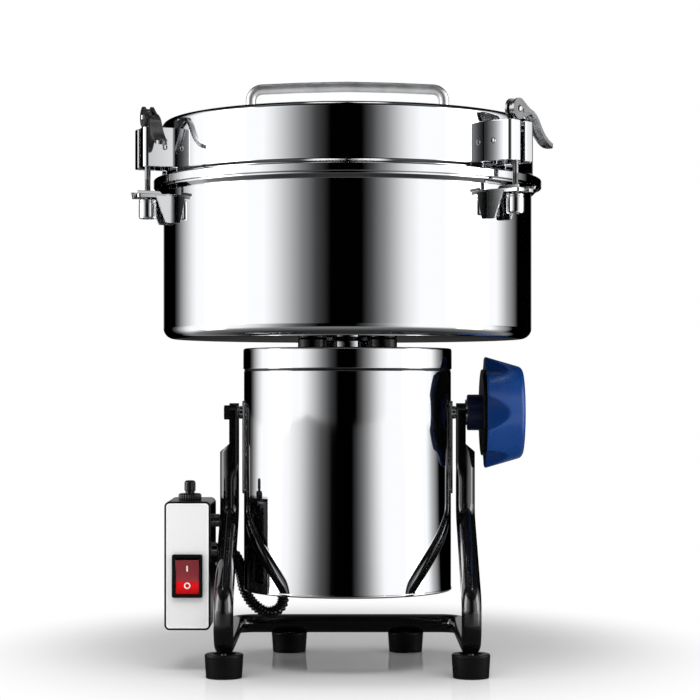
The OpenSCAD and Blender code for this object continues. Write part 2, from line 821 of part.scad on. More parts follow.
module lid_brackets() {
    half = bracket_w/2;
    color(steel)
        for (angle = latch_angles)
            at_latch(angle)
                difference() {
                    translate([lid_r - 3, -half, flange_z])
                        cube([bracket_out - lid_r + 3, bracket_w, bracket_h]);
                    translate([0, -half + bracket_t, flange_z - 1])
                        cube([bracket_out - bracket_t, bracket_w - 2*bracket_t, bracket_h - bracket_t + 1]);
                    translate([rod_reach - 4, -slot_w/2, flange_z - 1])
                        cube([20, slot_w, bracket_h + 2]);
                    translate([0, 0, rim_z])
                        cylinder(r = lid_r, h = lid_h, $fn = round_fn);
                }
}
module bracket_rivets() {
    color(steel)
        for (angle = latch_angles)
            at_latch(angle)
                for (side = [-1, 1])
                    translate([(lid_r + rod_reach)/2 - 1, side*bracket_w/2, flange_z + bracket_h/2])
                        rotate([-side*90, 0, 0])
                            cylinder(d = 4, h = 1, $fn = small_fn);
}

module shaft_seal() {
    color(rubber)
        difference() {
            union() {
                translate([0, 0, bowl_floor + bowl_wall])
                    cylinder(r1 = bearing_r + 1.5, r2 = bearing_r - 3, h = seal_h, $fn = 48);
                translate([0, 0, bowl_floor - 1])
                    cylinder(r = bearing_r - 1 - fit, h = bowl_wall + 2, $fn = 48);
            }
            translate([0, 0, bowl_floor - 2])
                cylinder(r = shaft_r + fit, h = seal_h + 6, $fn = 48);
        }
}
// Four rubber buffers and their screws that hold the bowl up off the motor cap
module bowl_standoffs() {
    color(rubber)
        for (a = buffer_angles)
            rotate([0, 0, a])
                translate([buffer_r, 0, 0]) {
                    translate([0, 0, cap_top])
                        cylinder(d = buffer_d, h = neck_h, $fn = 48);
                    translate([0, 0, bowl_floor - eps])
                        cylinder(d = post_d - 2*fit, h = bowl_wall + 1, $fn = small_fn);
                    translate([0, 0, bowl_floor + bowl_wall + fit])
                        cylinder(d = 9, h = 3, $fn = small_fn);
                }
}
module motor_cap() {
    color(steel)
        difference() {
            union() {
                difference() {
                    ring(case_r + cap_lip, bearing_r, cap_seam, cap_h);
                    ring(case_r + cap_lip - case_wall, bearing_r + 5, cap_seam - 1, cap_h - 1);
                }
                ring(bearing_r + 3, shaft_r + 3, cap_top - 2, neck_h + 2 - 1.1);
            }
            translate([0, 0, cap_seam - 1])
                cylinder(r = bearing_r, h = cap_h - 1, $fn = 48);
        }
}
module motor_casing() {
    color(steel)
        difference() {
            union() {
                ring(case_r, case_r - case_wall, case_bottom, case_rise + case_drop);
                ring(case_r + 0.3, case_r - 0.8, case_bottom, 1.6);
            }
            bar_x(pivot_d + 2*fit, -case_r - 3, case_r + 3, 0, pivot_z);
        }
}
module base_cover() {
    color(steel)
        difference() {
            union() {
                translate([0, 0, case_bottom + fit])
                    cylinder(r = case_r - case_wall - fit, h = 2, $fn = round_fn);
                ring(bearing_r + 4, bearing_r, case_bottom + 1, bearing_h + 7 + 4);
            }
            for (k = [0:11])
                rotate([0, 0, 30*k + 15])
                    translate([vent_in, -vent_w/2, case_bottom - 1])
                        cube([vent_out - vent_in, vent_w, 5]);
            translate([hose_to[0], hose_to[1], case_bottom - 1])
                cylinder(d = hose_d + 3, h = 5, $fn = small_fn);
            translate([0, 0, case_bottom - 1])
                cylinder(d = 5, h = 5, $fn = small_fn);
        }
}
module base_screw() {
    color(steel)
        union() {
            translate([0, 0, case_bottom - 3])
                cylinder(d1 = 6, d2 = 11, h = 1.5, $fn = small_fn);
            translate([0, 0, case_bottom - 1.5])
                cylinder(d = 11, h = 1.5, $fn = small_fn);
            translate([0, 0, case_bottom - eps])
                cylinder(d = 5 - 2*fit, h = 6, $fn = small_fn);
        }
}
module trunnion_plates() {
    color(steel)
        for (side = [0, 1])
            mirror([side, 0, 0])
                difference() {
                    union() {
                        translate([case_r - 3, -trunnion_w/2, trunnion_top - trunnion_h])
                            cube([3 + trunnion_t, trunnion_w, trunnion_h]);
                        bar_x(9, case_r - 2, lug_in - fit, 0, pivot_z);
                    }
                    translate([0, 0, case_bottom])
                        cylinder(r = case_r, h = case_drop + case_rise, $fn = 720);
                    bar_x(pivot_d + 2*fit, 0, lug_in + 5, 0, pivot_z);
                }
}
module pivot_nut_at(x) {
    translate([x, 0, pivot_z])
        rotate([0, 90, 0])
            difference() {
                cylinder(d = hex_flat/cos(30), h = 5, $fn = 6);
                translate([0, 0, -1])
                    cylinder(d = pivot_d + 2*fit, h = 7, $fn = small_fn);
            }
}
module left_pivot_bolt() {
    color(dark_steel) {
        bar_x(pivot_d, -leg_x - 2*fit, -case_r + 10, 0, pivot_z);
        translate([-leg_x - 2*fit - hex_h, 0, pivot_z])
            rotate([0, 90, 0])
                cylinder(d = hex_flat/cos(30), h = hex_h + eps, $fn = 6);
    }
}
module pivot_nuts() {
    color(dark_steel) {
        pivot_nut_at(-case_r + case_wall + 0.6);
        pivot_nut_at(case_r - case_wall - 5.6);
    }
}
module lock_stud() {
    color(dark_steel)
        bar_x(pivot_d, case_r - 10, stud_end, 0, pivot_z);
}
module bearings() {
    color(dark_steel)
        for (z = [lower_bearing_z, upper_bearing_z])
            ring(bearing_r - fit, shaft_r + fit, z, bearing_h, 48);
}

// A sector of a ring about Z between two angles
module sector(r_out, r_in, a0, a1, z0, h) {
    translate([0, 0, z0])
        rotate([0, 0, a0])
            rotate_extrude(angle = a1 - a0, $fn = round_fn)
                translate([r_in, 0])
                    square([r_out - r_in, h]);
}
module stator_core() {
    color(dark_steel)
        difference() {
            ring(case_r - case_wall - fit, bore_r, core_z, core_h);
            for (a = [60, 240])
                sector(window_r, bore_r + 3, a, a + 60, core_z - 1, core_h + 2);
        }
}
module field_coils() {
    color(copper)
        for (a = [0, 180])
            rotate([0, 0, a]) {
                for (z = [core_z - coil_end_h - fit, core_z + core_h + fit])
                    sector(coil_r, coil_in, -84, 84, z, coil_end_h);
                for (first = [-83, 65])
                    sector(coil_r - 0.5, coil_in + 0.5, first, first + 18, core_z - 1, core_h + 2);
            }
}
module brush_gear() {
    z = comm_z + comm_h/2;
    for (side = [0, 1])
        mirror([0, side, 0]) {
            color(brass)
                translate([-6, comm_r + 4, z - 7])
                    difference() {
                        cube([12, case_r - case_wall - comm_r - 6, 14]);
                        translate([2, -1, 2])
                            cube([8, 30, 10]);
                    }
            color([0.15, 0.15, 0.15])
                translate([-4 + fit, comm_r + fit, z - 5 + fit])
                    cube([8 - 2*fit, 22, 10 - 2*fit]);
        }
}
module motor_hose_gland() {
    color(gloss_black)
        translate([hose_to[0], hose_to[1], 0])
            difference() {
                union() {
                    translate([0, 0, hose_to[2]])
                        cylinder(d = hose_d + 5, h = case_bottom - hose_to[2], $fn = small_fn);
                    translate([0, 0, case_bottom - eps])
                        cylinder(d = hose_d + 3 - 2*fit, h = 5, $fn = small_fn);
                }
                translate([0, 0, hose_to[2] - 1])
                    cylinder(d = hose_bore, h = 20, $fn = small_fn);
            }
}

module rotor_shaft() {
    color(steel) {
        translate([0, 0, case_bottom + 7])
            cylinder(r = shaft_r, h = shaft_step - case_bottom - 7, $fn = 48);
        translate([0, 0, shaft_step - eps])
            cylinder(r = blade_bore_r, h = shaft_top - shaft_step, $fn = 48);
    }
}
module armature_core() {
    slots = 16;
    color(dark_steel)
        difference() {
            ring(armature_r, shaft_r + fit/2, core_z, core_h);
            for (k = [0:slots - 1])
                rotate([0, 0, 360*k/slots])
                    translate([armature_r - 9, -1.5, core_z - 1])
                        cube([12, 3, core_h + 2]);
        }
    color(copper)
        for (z = [core_z - winding_h - fit, core_z + core_h + fit])
            ring(armature_r - 6, shaft_r + fit/2, z, winding_h, 48);
}
module commutator() {
    bars = 24;
    color(copper)
        difference() {
            ring(comm_r, shaft_r + fit/2, comm_z, comm_h, 48);
            for (k = [0:bars - 1])
                rotate([0, 0, 360*(k + 0.5)/bars])
                    translate([comm_r - 1, -0.3, comm_z - 1])
                        cube([2, 0.6, comm_h + 2]);
        }
}
module cooling_fan() {
    vanes = 9;
    color(gloss_black) {
        ring(fan_r, shaft_r + fit/2, fan_z, 2, 48);
        ring(shaft_r + 5, shaft_r + fit/2, fan_z, fan_h, 48);
        for (k = [0:vanes - 1])
            rotate([0, 0, 360*k/vanes])
                translate([shaft_r + 4, -1, fan_z + 1])
                    cube([fan_r - shaft_r - 6, 2, fan_h - 1]);
    }
}

// A bar blade with two ground edges and cut-back tips
module blade(length, z, turn) {
    tip = 10;
    color(steel)
        rotate([0, 0, turn])
            translate([0, 0, z])
                difference() {
                    linear_extrude(blade_t)
                        polygon([[-length/2, -blade_w/2 + tip], [-length/2 + tip, -blade_w/2],
                            [length/2, -blade_w/2], [length/2, blade_w/2 - tip],
                            [length/2 - tip, blade_w/2], [-length/2, blade_w/2]]);
                    translate([0, 0, -1])
                        cylinder(r = blade_bore_r + fit/2, h = blade_t + 2, $fn = 48);
                    for (side = [0, 180])
                        rotate([0, 0, side])
                            translate([20, -blade_w/2 - 0.01, blade_t])
                                rotate([-20, 0, 0])
                                    translate([0, -6, -1.8])
                                        cube([length, 12, 10]);
                }
}
module lower_blade() {
    blade(lower_blade_l, lower_blade_z, 20);
}
module blade_spacer() {
    color(steel)
        ring(blade_bore_r + 4, blade_bore_r + fit/2, lower_blade_z + blade_t, blade_gap, 48);
}
module upper_blade() {
    blade(upper_blade_l, upper_blade_z, 110);
}
module blade_nut() {
    color(steel)
        translate([0, 0, upper_blade_z + blade_t])
            difference() {
                cylinder(d = 19, h = 8, $fn = 6);
                translate([0, 0, -1])
                    cylinder(r = blade_bore_r + fit/2, h = 10, $fn = 48);
            }
}

module lock_washer() {
    color(steel)
        translate([washer_x, 0, pivot_z])
            rotate([0, 90, 0])
                ring(9, pivot_d/2 + fit, 0, washer_t - fit, 48);
}
module lock_knob() {
    dome = 1.5;
    edge = 5;
    front = cup_x + knob_depth;
    flute_r = 15;
    color([0.05, 0.2, 0.5])
        translate([0, 0, pivot_z])
            rotate([0, 90, 0])
                difference() {
                    union() {
                        translate([0, 0, cup_x])
                            cylinder(r1 = knob_r, r2 = knob_front_r, h = knob_depth - edge - dome,
                                $fn = round_fn);
                        translate([0, 0, front - dome - edge])
                            rotate_extrude($fn = round_fn)
                                translate([knob_front_r - edge, 0])
                                    circle(r = edge, $fn = small_fn);
                        translate([0, 0, front - dome - edge])
                            cylinder(r = knob_front_r - edge, h = edge, $fn = round_fn);
                        translate([0, 0, front - dome])
                            cylinder(r1 = knob_front_r - edge, r2 = (knob_front_r - edge)/2, h = dome,
                                $fn = round_fn);
                        translate([0, 0, hub_x])
                            cylinder(d = knob_hub_d, h = knob_hub_l, $fn = 48);
                    }
                    for (k = [0:flutes - 1])
                        rotate([0, 0, 90 + 360*k/flutes])
                            translate([knob_r - 6 + flute_r, 0, cup_x - 1])
                                cylinder(r = flute_r, h = knob_depth + 2, $fn = small_fn);
                    translate([0, 0, hub_x - 1])
                        cylinder(d = pivot_d + 2*fit, h = stud_end - hub_x + 3, $fn = small_fn);
                }
}
module knob_back_disc() {
    color(rubber)
        translate([0, 0, pivot_z])
            rotate([0, 90, 0])
                ring(knob_r - 9, knob_hub_d/2 + fit, cup_x - disc_t - fit, disc_t, 48);
}

module latch_rod(angle) {
    color(dark_steel)
        at_latch(angle) {
            difference() {
                union() {
                    translate([rod_reach, 0, rod_bottom])
                        cylinder(d = rod_d, h = pin_z - rod_bottom - 2, $fn = small_fn);
                    bar_x(hub_r + 4, rod_reach - eye_t/2, rod_reach + eye_t/2, 0, pin_z);
                }
                bar_x(pin_d, rod_reach - 5, rod_reach + 5, 0, pin_z);
            }
            bar_x(pin_d - 0.02, rod_reach - eye_t/2 - cheek_t - 0.7, rod_reach + eye_t/2 + cheek_t + 0.7, 0,
                pin_z);
        }
}
module latch_nut(angle) {
    color(steel)
        at_latch(angle)
            translate([rod_reach, 0, nut_top - nut_h])
                difference() {
                    cylinder(d = nut_d, h = nut_h, $fn = small_fn);
                    translate([0, 0, -1])
                        cylinder(d = rod_d + fit, h = nut_h + 2, $fn = small_fn);
                }
}
bezier = function (p, t) pow(1 - t, 3)*p[0] + 3*pow(1 - t, 2)*t*p[1] + 3*(1 - t)*t*t*p[2] + pow(t, 3)*p[3];
// A pressed cam lever: two cheeks on the pin, then an S-shaped arm with two slots at its bend
module latch_lever(angle) {
    line = concat([for (i = [0:lever_steps - 1]) bezier(lever_hump, i/lever_steps)],
        [for (i = [0:lever_steps]) bezier(lever_tail, i/lever_steps)]);
    last = len(line) - 1;
    normal = [for (i = [0:last]) let (d = unit(line[min(i + 1, last)] - line[max(i - 1, 0)])) [-d[1], d[0]]];
    upper = [for (i = [0:last]) line[i] + normal[i]*lever_t/2];
    lower = [for (i = [last:-1:0]) line[i] - normal[i]*lever_t/2];
    gap = rod_d/2 + 0.1;
    color(dark_steel)
        at_latch(angle)
            translate([rod_reach, 0, pin_z])
                difference() {
                    union() {
                        for (side = [-1, 1])
                            translate([side*(gap + cheek_t/2), 0, 0])
                                rotate([0, 90, 0])
                                    translate([0, 0, -cheek_t/2])
                                        cylinder(r = hub_r, h = cheek_t, $fn = 48);
                        intersection() {
                            rotate([90, 0, 90])
                                translate([0, 0, -lever_w/2])
                                    linear_extrude(lever_w)
                                        polygon(concat(upper, lower));
                            union() {
                                translate([-lever_w, 0, -40])
                                    cube([2*lever_w, lever_end - lever_w/2, 60]);
                                translate([0, lever_end - lever_w/2, -40])
                                    cylinder(d = lever_w - lap_step, h = 60, $fn = small_fn);
                            }
                        }
                    }
                    bar_x(pin_d + 2*fit, -10, 10, 0, 0);
                    translate([0, lever_end - lever_w/2, -40])
                        cylinder(d = lever_hole_d, h = 60, $fn = small_fn);
                    translate([-gap, -9, -9])
                        cube([2*gap, 9 + hub_r + 0.6, 18]);
                    for (side = [-1, 1])
                        translate([side*1.9 - 0.7, 12, -8])
                            cube([1.4, 5, 14]);
                }
}
module left_latch_rod() { latch_rod(latch_angles[0]); }
module left_latch_nut() { latch_nut(latch_angles[0]); }
module left_latch_lever() { latch_lever(latch_angles[0]); }
module right_latch_rod() { latch_rod(latch_angles[1]); }
module right_latch_nut() { latch_nut(latch_angles[1]); }
module right_latch_lever() { latch_lever(latch_angles[1]); }
module rear_latch_rod() { latch_rod(latch_angles[2]); }
module rear_latch_nut() { latch_nut(latch_angles[2]); }
module rear_latch_lever() { latch_lever(latch_angles[2]); }

left_side_tube();
right_side_tube();
rear_cross_tube();
front_feet();
rear_feet();
foot_screws();
switch_box_body();
switch_box_panel();
box_standoffs();
rocker_housing();
rocker();
breaker_body();
reset_nut();
reset_button();
mains_gland();
box_hose_gland();
link_hose();
bowl();
catch_brackets();
lid();
lid_gasket();
lid_handle();
handle_nuts();
lid_brackets();
bracket_rivets();
shaft_seal();
bowl_standoffs();
motor_cap();
motor_casing();
base_cover();
base_screw();
trunnion_plates();
left_pivot_bolt();
pivot_nuts();
lock_stud();
bearings();
stator_core();
field_coils();
brush_gear();
motor_hose_gland();
rotor_shaft();
armature_core();
commutator();
cooling_fan();
lower_blade();
blade_spacer();
upper_blade();
blade_nut();
lock_washer();
lock_knob();
knob_back_disc();
left_latch_rod();
left_latch_nut();
left_latch_lever();
right_latch_rod();
right_latch_nut();
right_latch_lever();
rear_latch_rod();
rear_latch_nut();
rear_latch_lever();
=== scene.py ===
# Dresses the coffee grinder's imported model: detailed pieces, materials, light and camera.
# Sizes are written in millimetres, in the part's own frame, and turned into metres as each mesh is made.
from math import atan2, ceil, copysign, cos, degrees, dist, hypot, pi, radians, sin, sqrt, tan

import bmesh
import bpy
from mathutils import Matrix, Vector


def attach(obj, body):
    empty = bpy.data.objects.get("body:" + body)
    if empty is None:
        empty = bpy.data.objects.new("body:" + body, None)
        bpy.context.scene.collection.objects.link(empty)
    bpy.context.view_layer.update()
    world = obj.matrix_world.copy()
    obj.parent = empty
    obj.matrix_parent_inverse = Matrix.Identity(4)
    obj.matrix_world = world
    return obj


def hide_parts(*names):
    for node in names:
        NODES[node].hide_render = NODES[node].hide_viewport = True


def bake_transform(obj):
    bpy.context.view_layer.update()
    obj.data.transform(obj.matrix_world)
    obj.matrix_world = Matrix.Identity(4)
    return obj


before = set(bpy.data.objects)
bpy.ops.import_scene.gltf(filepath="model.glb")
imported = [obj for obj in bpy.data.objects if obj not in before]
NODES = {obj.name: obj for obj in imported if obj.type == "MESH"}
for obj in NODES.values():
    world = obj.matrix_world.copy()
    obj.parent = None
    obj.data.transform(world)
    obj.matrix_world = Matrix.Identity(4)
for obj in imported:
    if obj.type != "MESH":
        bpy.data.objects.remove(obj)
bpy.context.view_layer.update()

SCENE = bpy.context.scene
TO_METRES = 0.001
TO_MM = 1000
EDGE_ANGLE = 32     # degrees between two faces, from which their edge is sharp or bevelled
WHITE = (1, 1, 1, 1)


def given(thing, **values):
    """The thing, with the values set on it."""
    for key, value in values.items():
        setattr(thing, key, value)
    return thing


def added(name, data):
    """A new object in the scene."""
    obj = bpy.data.objects.new(name, data)
    SCENE.collection.objects.link(obj)
    return obj


# -------- shader nodes

def feed(tree, n, inputs):
    """Gives each named input of a node a value, or a link from a socket."""
    for key, value in inputs.items():
        if isinstance(value, bpy.types.NodeSocket):
            tree.links.new(value, n.inputs[key])
        else:
            n.inputs[key].default_value = value
    return n


def node(tree, kind, inputs=None, **values):
    return feed(tree, given(tree.nodes.new(kind), **values), inputs or {})


def worked_out(tree, operation, *inputs):
    return node(tree, "ShaderNodeMath", dict(enumerate(inputs)), operation=operation).outputs[0]


def length(tree, vector):
    return node(tree, "ShaderNodeVectorMath", {0: vector}, operation="LENGTH").outputs["Value"]


def split(tree, vector):
    return node(tree, "ShaderNodeSeparateXYZ", {0: vector}).outputs


def position(tree, space="Object"):
    return node(tree, "ShaderNodeTexCoord").outputs[space]


def coords(tree, scale=(1, 1, 1), polar=False):
    """Object coordinates in metres; polar gives (angle, radius, height) about the upright axis."""
    source = position(tree)
    if polar:
        part = split(tree, source)
        flat = node(tree, "ShaderNodeCombineXYZ", {"X": part["X"], "Y": part["Y"]}).outputs[0]
        angle = worked_out(tree, "ARCTAN2", part["X"], part["Y"])
        around = {"X": angle, "Y": length(tree, flat), "Z": part["Z"]}
        source = node(tree, "ShaderNodeCombineXYZ", around).outputs[0]
    return node(tree, "ShaderNodeMapping", {"Scale": scale, "Vector": source}).outputs[0]


def noise(tree, vector, scale, detail=3.0, rough=0.55):
    inputs = {"Scale": scale, "Detail": detail, "Roughness": rough, "Vector": vector}
    return node(tree, "ShaderNodeTexNoise", inputs).outputs["Fac"]


def ramp(tree, source, stops):
    """A brightness or a colour for each place along the source's 0 to 1."""
    n = node(tree, "ShaderNodeValToRGB", {"Fac": source})
    band = n.color_ramp
    while len(band.elements) < len(stops):
        band.elements.new(0.5)
    for element, (at, value) in zip(band.elements, stops):
        element.position = at
        element.color = (*value, 1) if isinstance(value, tuple) else (value, value, value, 1)
    return n.outputs["Color"]


def span(tree, source, low, high, start=0.3, end=0.7, kind="LINEAR"):
    """The source's start to end, stretched over low to high; noise keeps mostly to 0.3 to 0.7."""
    inputs = {"Value": source, "From Min": start, "From Max": end, "To Min": low, "To Max": high}
    return node(tree, "ShaderNodeMapRange", inputs, interpolation_type=kind).outputs["Result"]


def bump(tree, bsdf, height, distance, under=None):
    """Relief of distance metres; under is the normal of a coarser relief below it."""
    n = node(tree, "ShaderNodeBump", {"Distance": distance, "Strength": 1.0, "Height": height})
    if under is not None:
        feed(tree, n, {"Normal": under})
    feed(tree, bsdf, {"Normal": n.outputs["Normal"]})
    return n.outputs["Normal"]


def shade(tree, bsdf, source, low, high):
    """The base colour wanders between two colours with the source."""
    feed(tree, bsdf, {"Base Color": ramp(tree, source, [(0.3, low), (0.7, high)])})


def gloss(tree, bsdf, source, low, high):
    """The roughness wanders between low and high with the source."""
    feed(tree, bsdf, {"Roughness": span(tree, source, low, high)})


def tint(color, share):
    return tuple(min(1.0, c*share) for c in color)


def blended(tree, kind, first, second):
    inputs = {"Factor": 1, "A": first, "B": second}
    return node(tree, "ShaderNodeMix", inputs, data_type="RGBA", blend_type=kind).outputs["Result"]


def mixed(tree, factor, first, second):
    """The first shader where the factor is 0, the second where it is 1."""
    return node(tree, "ShaderNodeMixShader", {"Fac": factor, 1: first, 2: second}).outputs[0]


# -------- materials

def new_material(name, color, metallic, roughness, more=None):
    """A Principled material, its tree and its shader; more names further inputs."""
    mat = bpy.data.materials.new(name)
    mat.use_nodes = True
    tree = mat.node_tree
    bsdf = tree.nodes["Principled BSDF"]
    feed(tree, bsdf, {"Base Color": (*color, 1), "Metallic": metallic, "Roughness": roughness})
    feed(tree, bsdf, more or {})
    return mat, tree, bsdf


def steel(name, color, low, high, waves, polar, fine=0.0):
    """Steel: a wandering roughness, faint polishing lines, and very slight waviness."""
    mat, tree, bsdf = new_material(name, color, 1.0, low)
    stretch = (3, 20, 900) if polar else (60, 60, 700)
    lines = noise(tree, coords(tree, stretch, polar), scale=1.0, detail=2.0)
    gloss(tree, bsdf, noise(tree, coords(tree), scale=22.0, detail=4.0), low, high)
    shade(tree, bsdf, lines, tint(color, 0.996), tint(color, 1.004))
    first = bump(tree, bsdf, noise(tree, coords(tree), scale=9.0, detail=1.0, rough=0.3), waves)
    if fine:
        bump(tree, bsdf, lines, fine, first)
    return mat


def brushed(name, color, low, high, stretch, depth, polar=False, metallic=1.0):
    """Metal with lines along the axis that stretch names least, and patches of tone and gloss."""
    mat, tree, bsdf = new_material(name, color, metallic, low)
    patch = noise(tree, coords(tree), scale=70.0, detail=4.0)
    gloss(tree, bsdf, patch, low, high)
    shade(tree, bsdf, patch, tint(color, 0.86), tint(color, 1.1))
    bump(tree, bsdf, noise(tree, coords(tree, stretch, polar), 1.0, detail=4.0, rough=0.7), depth)
    return mat


def glossy(name, color, rough, peel, depth, coat=0.6, ior=1.5, grain=None, wander=0.12):
    """Paint or moulded plastic: orange peel or fine grain, and a little change of tone and gloss."""
    coated = {"IOR": ior, "Coat Weight": coat, "Coat Roughness": 0.06}
    mat, tree, bsdf = new_material(name, color, 0.0, rough, coated)
    tone = noise(tree, coords(tree), scale=35.0)
    shade(tree, bsdf, tone, tint(color, 1 - wander), tint(color, 1 + wander))
    gloss(tree, bsdf, tone, rough*0.8, rough*1.25)
    first = bump(tree, bsdf, noise(tree, coords(tree), peel, detail=2.0), depth)
    if grain:
        bump(tree, bsdf, noise(tree, coords(tree), grain, detail=2.0), depth*0.6, first)
    return mat


def rubber(name, color, rough, grain, shine):
    mat, tree, bsdf = new_material(name, color, 0.0, rough, {"Specular IOR Level": shine})
    tone = noise(tree, coords(tree), scale=60.0, detail=4.0)
    shade(tree, bsdf, tone, tint(color, 0.8), tint(color, 1.25))
    gloss(tree, bsdf, tone, rough*0.85, rough*1.1)
    bump(tree, bsdf, noise(tree, coords(tree), grain), 0.00006)
    return mat


def striped(name, color, dark, scale, rough, metallic, depth):
    """Layers or turns: fine stripes along the upright axis, broken up a little."""
    mat, tree, bsdf = new_material(name, color, metallic, rough)
    inputs = {"Scale": scale, "Distortion": 0.6, "Vector": coords(tree)}
    wave = node(tree, "ShaderNodeTexWave", inputs, bands_direction="Z").outputs["Fac"]
    shade(tree, bsdf, wave, dark, color)
    bump(tree, bsdf, wave, depth)
    return mat


def rocker_red(low_z, high_z):
    """Translucent red with painted light: the upper half is painted dusky as painted shade, the lower end
    painted bright as a painted glow.
    """
    clear = {"Coat Weight": 1.0, "Coat Roughness": 0.05,
             "Subsurface Weight": 0.25, "Subsurface Radius": (0.004, 0.0006, 0.0006)}
    mat, tree, bsdf = new_material("rocker_red", (0.62, 0.02, 0.02), 0.0, 0.16, clear)
    # Painted light: the ramp paints the lower end bright as a glow, with a brighter painted highlight band, and
    # the upper half dark as painted shade
    height = span(tree, split(tree, position(tree))["Z"], 0, 1, low_z, high_z)
    stops = [(0.0, (0.42, 0.004, 0.006)), (0.2, (0.80, 0.006, 0.010)), (0.31, (0.72, 0.008, 0.012)),
             (0.40, (0.27, 0.030, 0.036)), (1.0, (0.22, 0.030, 0.038))]
    feed(tree, bsdf, {"Base Color": ramp(tree, height, stops)})
    bump(tree, bsdf, noise(tree, coords(tree), scale=900, detail=2.0), 0.00001)
    return mat


POLISHED = steel("polished_steel", (0.83, 0.84, 0.86), 0.025, 0.05, 0.00002, True)
BRIGHT = steel("bright_steel", (0.78, 0.79, 0.80), 0.08, 0.16, 0.00001, False, 0.000002)
LATCH = brushed("latch_steel", (0.26, 0.26, 0.265), 0.24, 0.40, (700, 700, 700), 0.00002)
SATIN = brushed("satin_steel", (0.80, 0.80, 0.81), 0.40, 0.50, (60, 900, 900), 0.000004)
LID_TOP = brushed("lid_top_steel", (0.66, 0.67, 0.68), 0.20, 0.30, (2, 2500, 20), 0.000006, True, 0.4)
BLADE = brushed("blade_steel", (0.66, 0.67, 0.68), 0.18, 0.30, (40, 900, 900), 0.00001)
BEARING = brushed("bearing_steel", (0.60, 0.60, 0.62), 0.15, 0.25, (300, 300, 900), 0.00001)
BRASS = brushed("brush_brass", (0.75, 0.60, 0.28), 0.22, 0.34, (500, 500, 900), 0.00002)
PAINT = glossy("frame_paint", (0.003, 0.003, 0.0035), 0.09, 450, 0.000012, 0.6, 1.75)
SHELL = glossy("box_shell", (0.004, 0.004, 0.0045), 0.20, 500, 0.00002, 0.3)
PANEL = glossy("box_panel", (0.80, 0.80, 0.80), 0.42, 900, 0.00002, 0.15, wander=0.012)
PLASTIC = glossy("black_plastic", (0.005, 0.005, 0.0055), 0.24, 700, 0.00002, 0.2, 1.45, 2200)
TRIM = glossy("trim_black", (0.004, 0.004, 0.0045), 0.30, 600, 0.00002, 0.1)
# A whiter grey for the panel's rim: a painted highlight along the panel's edge
RIM_PAINTED_HIGHLIGHT = glossy("rim_painted_highlight", (0.90, 0.90, 0.90), 0.35, 900, 0.00001, 0.2, wander=0.01)
KNOB = glossy("knob_blue", (0.001, 0.044, 0.215), 0.26, 300, 0.00001, 0.12, 1.40, wander=0.04)
# Deeper blue for the scallops: painted shade in their hollows
KNOB_SCALLOP_PAINTED_SHADE = glossy("knob_scallop_painted_shade", (0.001, 0.024, 0.125), 0.24, 300, 0.00001, 0.12, 1.40, wander=0.04)
# Navy for the hub, and for the knob's back face as painted shade
KNOB_NAVY_HUB_AND_BACK_SHADE = glossy("knob_navy_hub_and_back_shade", (0.002, 0.006, 0.035), 0.32, 300, 0.00001, 0.08, 1.42, wander=0.04)
MARK = glossy("mark_white", (0.86, 0.86, 0.84), 0.45, 900, 0.00001, 0.1)
RUBBER = rubber("foot_rubber", (0.004, 0.004, 0.0042), 0.30, 1500, 0.34)
SILICONE = rubber("gasket_silicone", (0.80, 0.80, 0.78), 0.5, 900, 0.4)
HOSE = rubber("hose_vinyl", (0.006, 0.006, 0.0065), 0.12, 1200, 0.9)
LAMINATIONS = striped("laminations", (0.35, 0.34, 0.33), (0.16, 0.155, 0.15), 260, 0.45, 0.8, 0.00008)
COPPER = striped("copper", (0.70, 0.36, 0.18), (0.40, 0.18, 0.08), 180, 0.30, 1.0, 0.0001)
RED_WITH_PAINTED_GLOW = rocker_red(low_z=0.0532, high_z=0.078)

SLOT_MATERIAL = {
    "polished_steel": POLISHED, "bright_steel": BRIGHT, "satin_steel": SATIN, "latch_steel": LATCH,
    "frame_paint": PAINT, "foot_rubber": RUBBER, "box_shell": SHELL, "box_panel": PANEL,
    "black_plastic": PLASTIC, "rocker_red": RED_WITH_PAINTED_GLOW, "knob_blue": KNOB,
}


# -------- mesh helpers

def new_object(name, shape, merge):
    """An object from (points, faces) in millimetres; points closer than merge metres become one."""
    mesh = bpy.data.meshes.new(name)
    mesh.from_pydata([Vector(v)*TO_METRES for v in shape[0]], [], shape[1])
    work = bmesh.new()
    work.from_mesh(mesh)
    bmesh.ops.remove_doubles(work, verts=work.verts, dist=merge)
    bmesh.ops.recalc_face_normals(work, faces=work.faces)
    work.to_mesh(mesh)
    work.free()
    return added(name, mesh)


def piece(name, shape, slot, body, replaces=(), at=None, smooth=EDGE_ANGLE, material=None, bevel=0.0, steps=3):
    """A piece of the dressed part; it rides on body and may stand for CAD nodes."""
    obj = new_object(name, shape if at is None else moved(shape, at), 2e-7)
    mesh = obj.data
    mesh.polygons.foreach_set("use_smooth", [True]*len(mesh.polygons))
    mesh.materials.append(material or SLOT_MATERIAL[slot])
    if bevel:
        given(obj.modifiers.new("edges", "BEVEL"), width=bevel*TO_METRES, segments=steps,
              limit_method="ANGLE", angle_limit=radians(EDGE_ANGLE), harden_normals=True, use_clamp_overlap=True)
    else:
        mesh.set_sharp_from_angle(angle=radians(smooth))
    if body:
        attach(obj, body)
    if replaces:
        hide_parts(*replaces)
    return obj


def join(parts):
    """Several (verts, faces) lists as one."""
    verts, faces = [], []
    for v, f in parts:
        base = len(verts)
        verts += [Vector(p) for p in v]
        faces += [tuple(i + base for i in face) for face in f]
    return verts, faces


def moved(shape, matrix):
    return [matrix @ Vector(v) for v in shape[0]], shape[1]


def copies(shape, places):
    return join([moved(shape, place) for place in places])


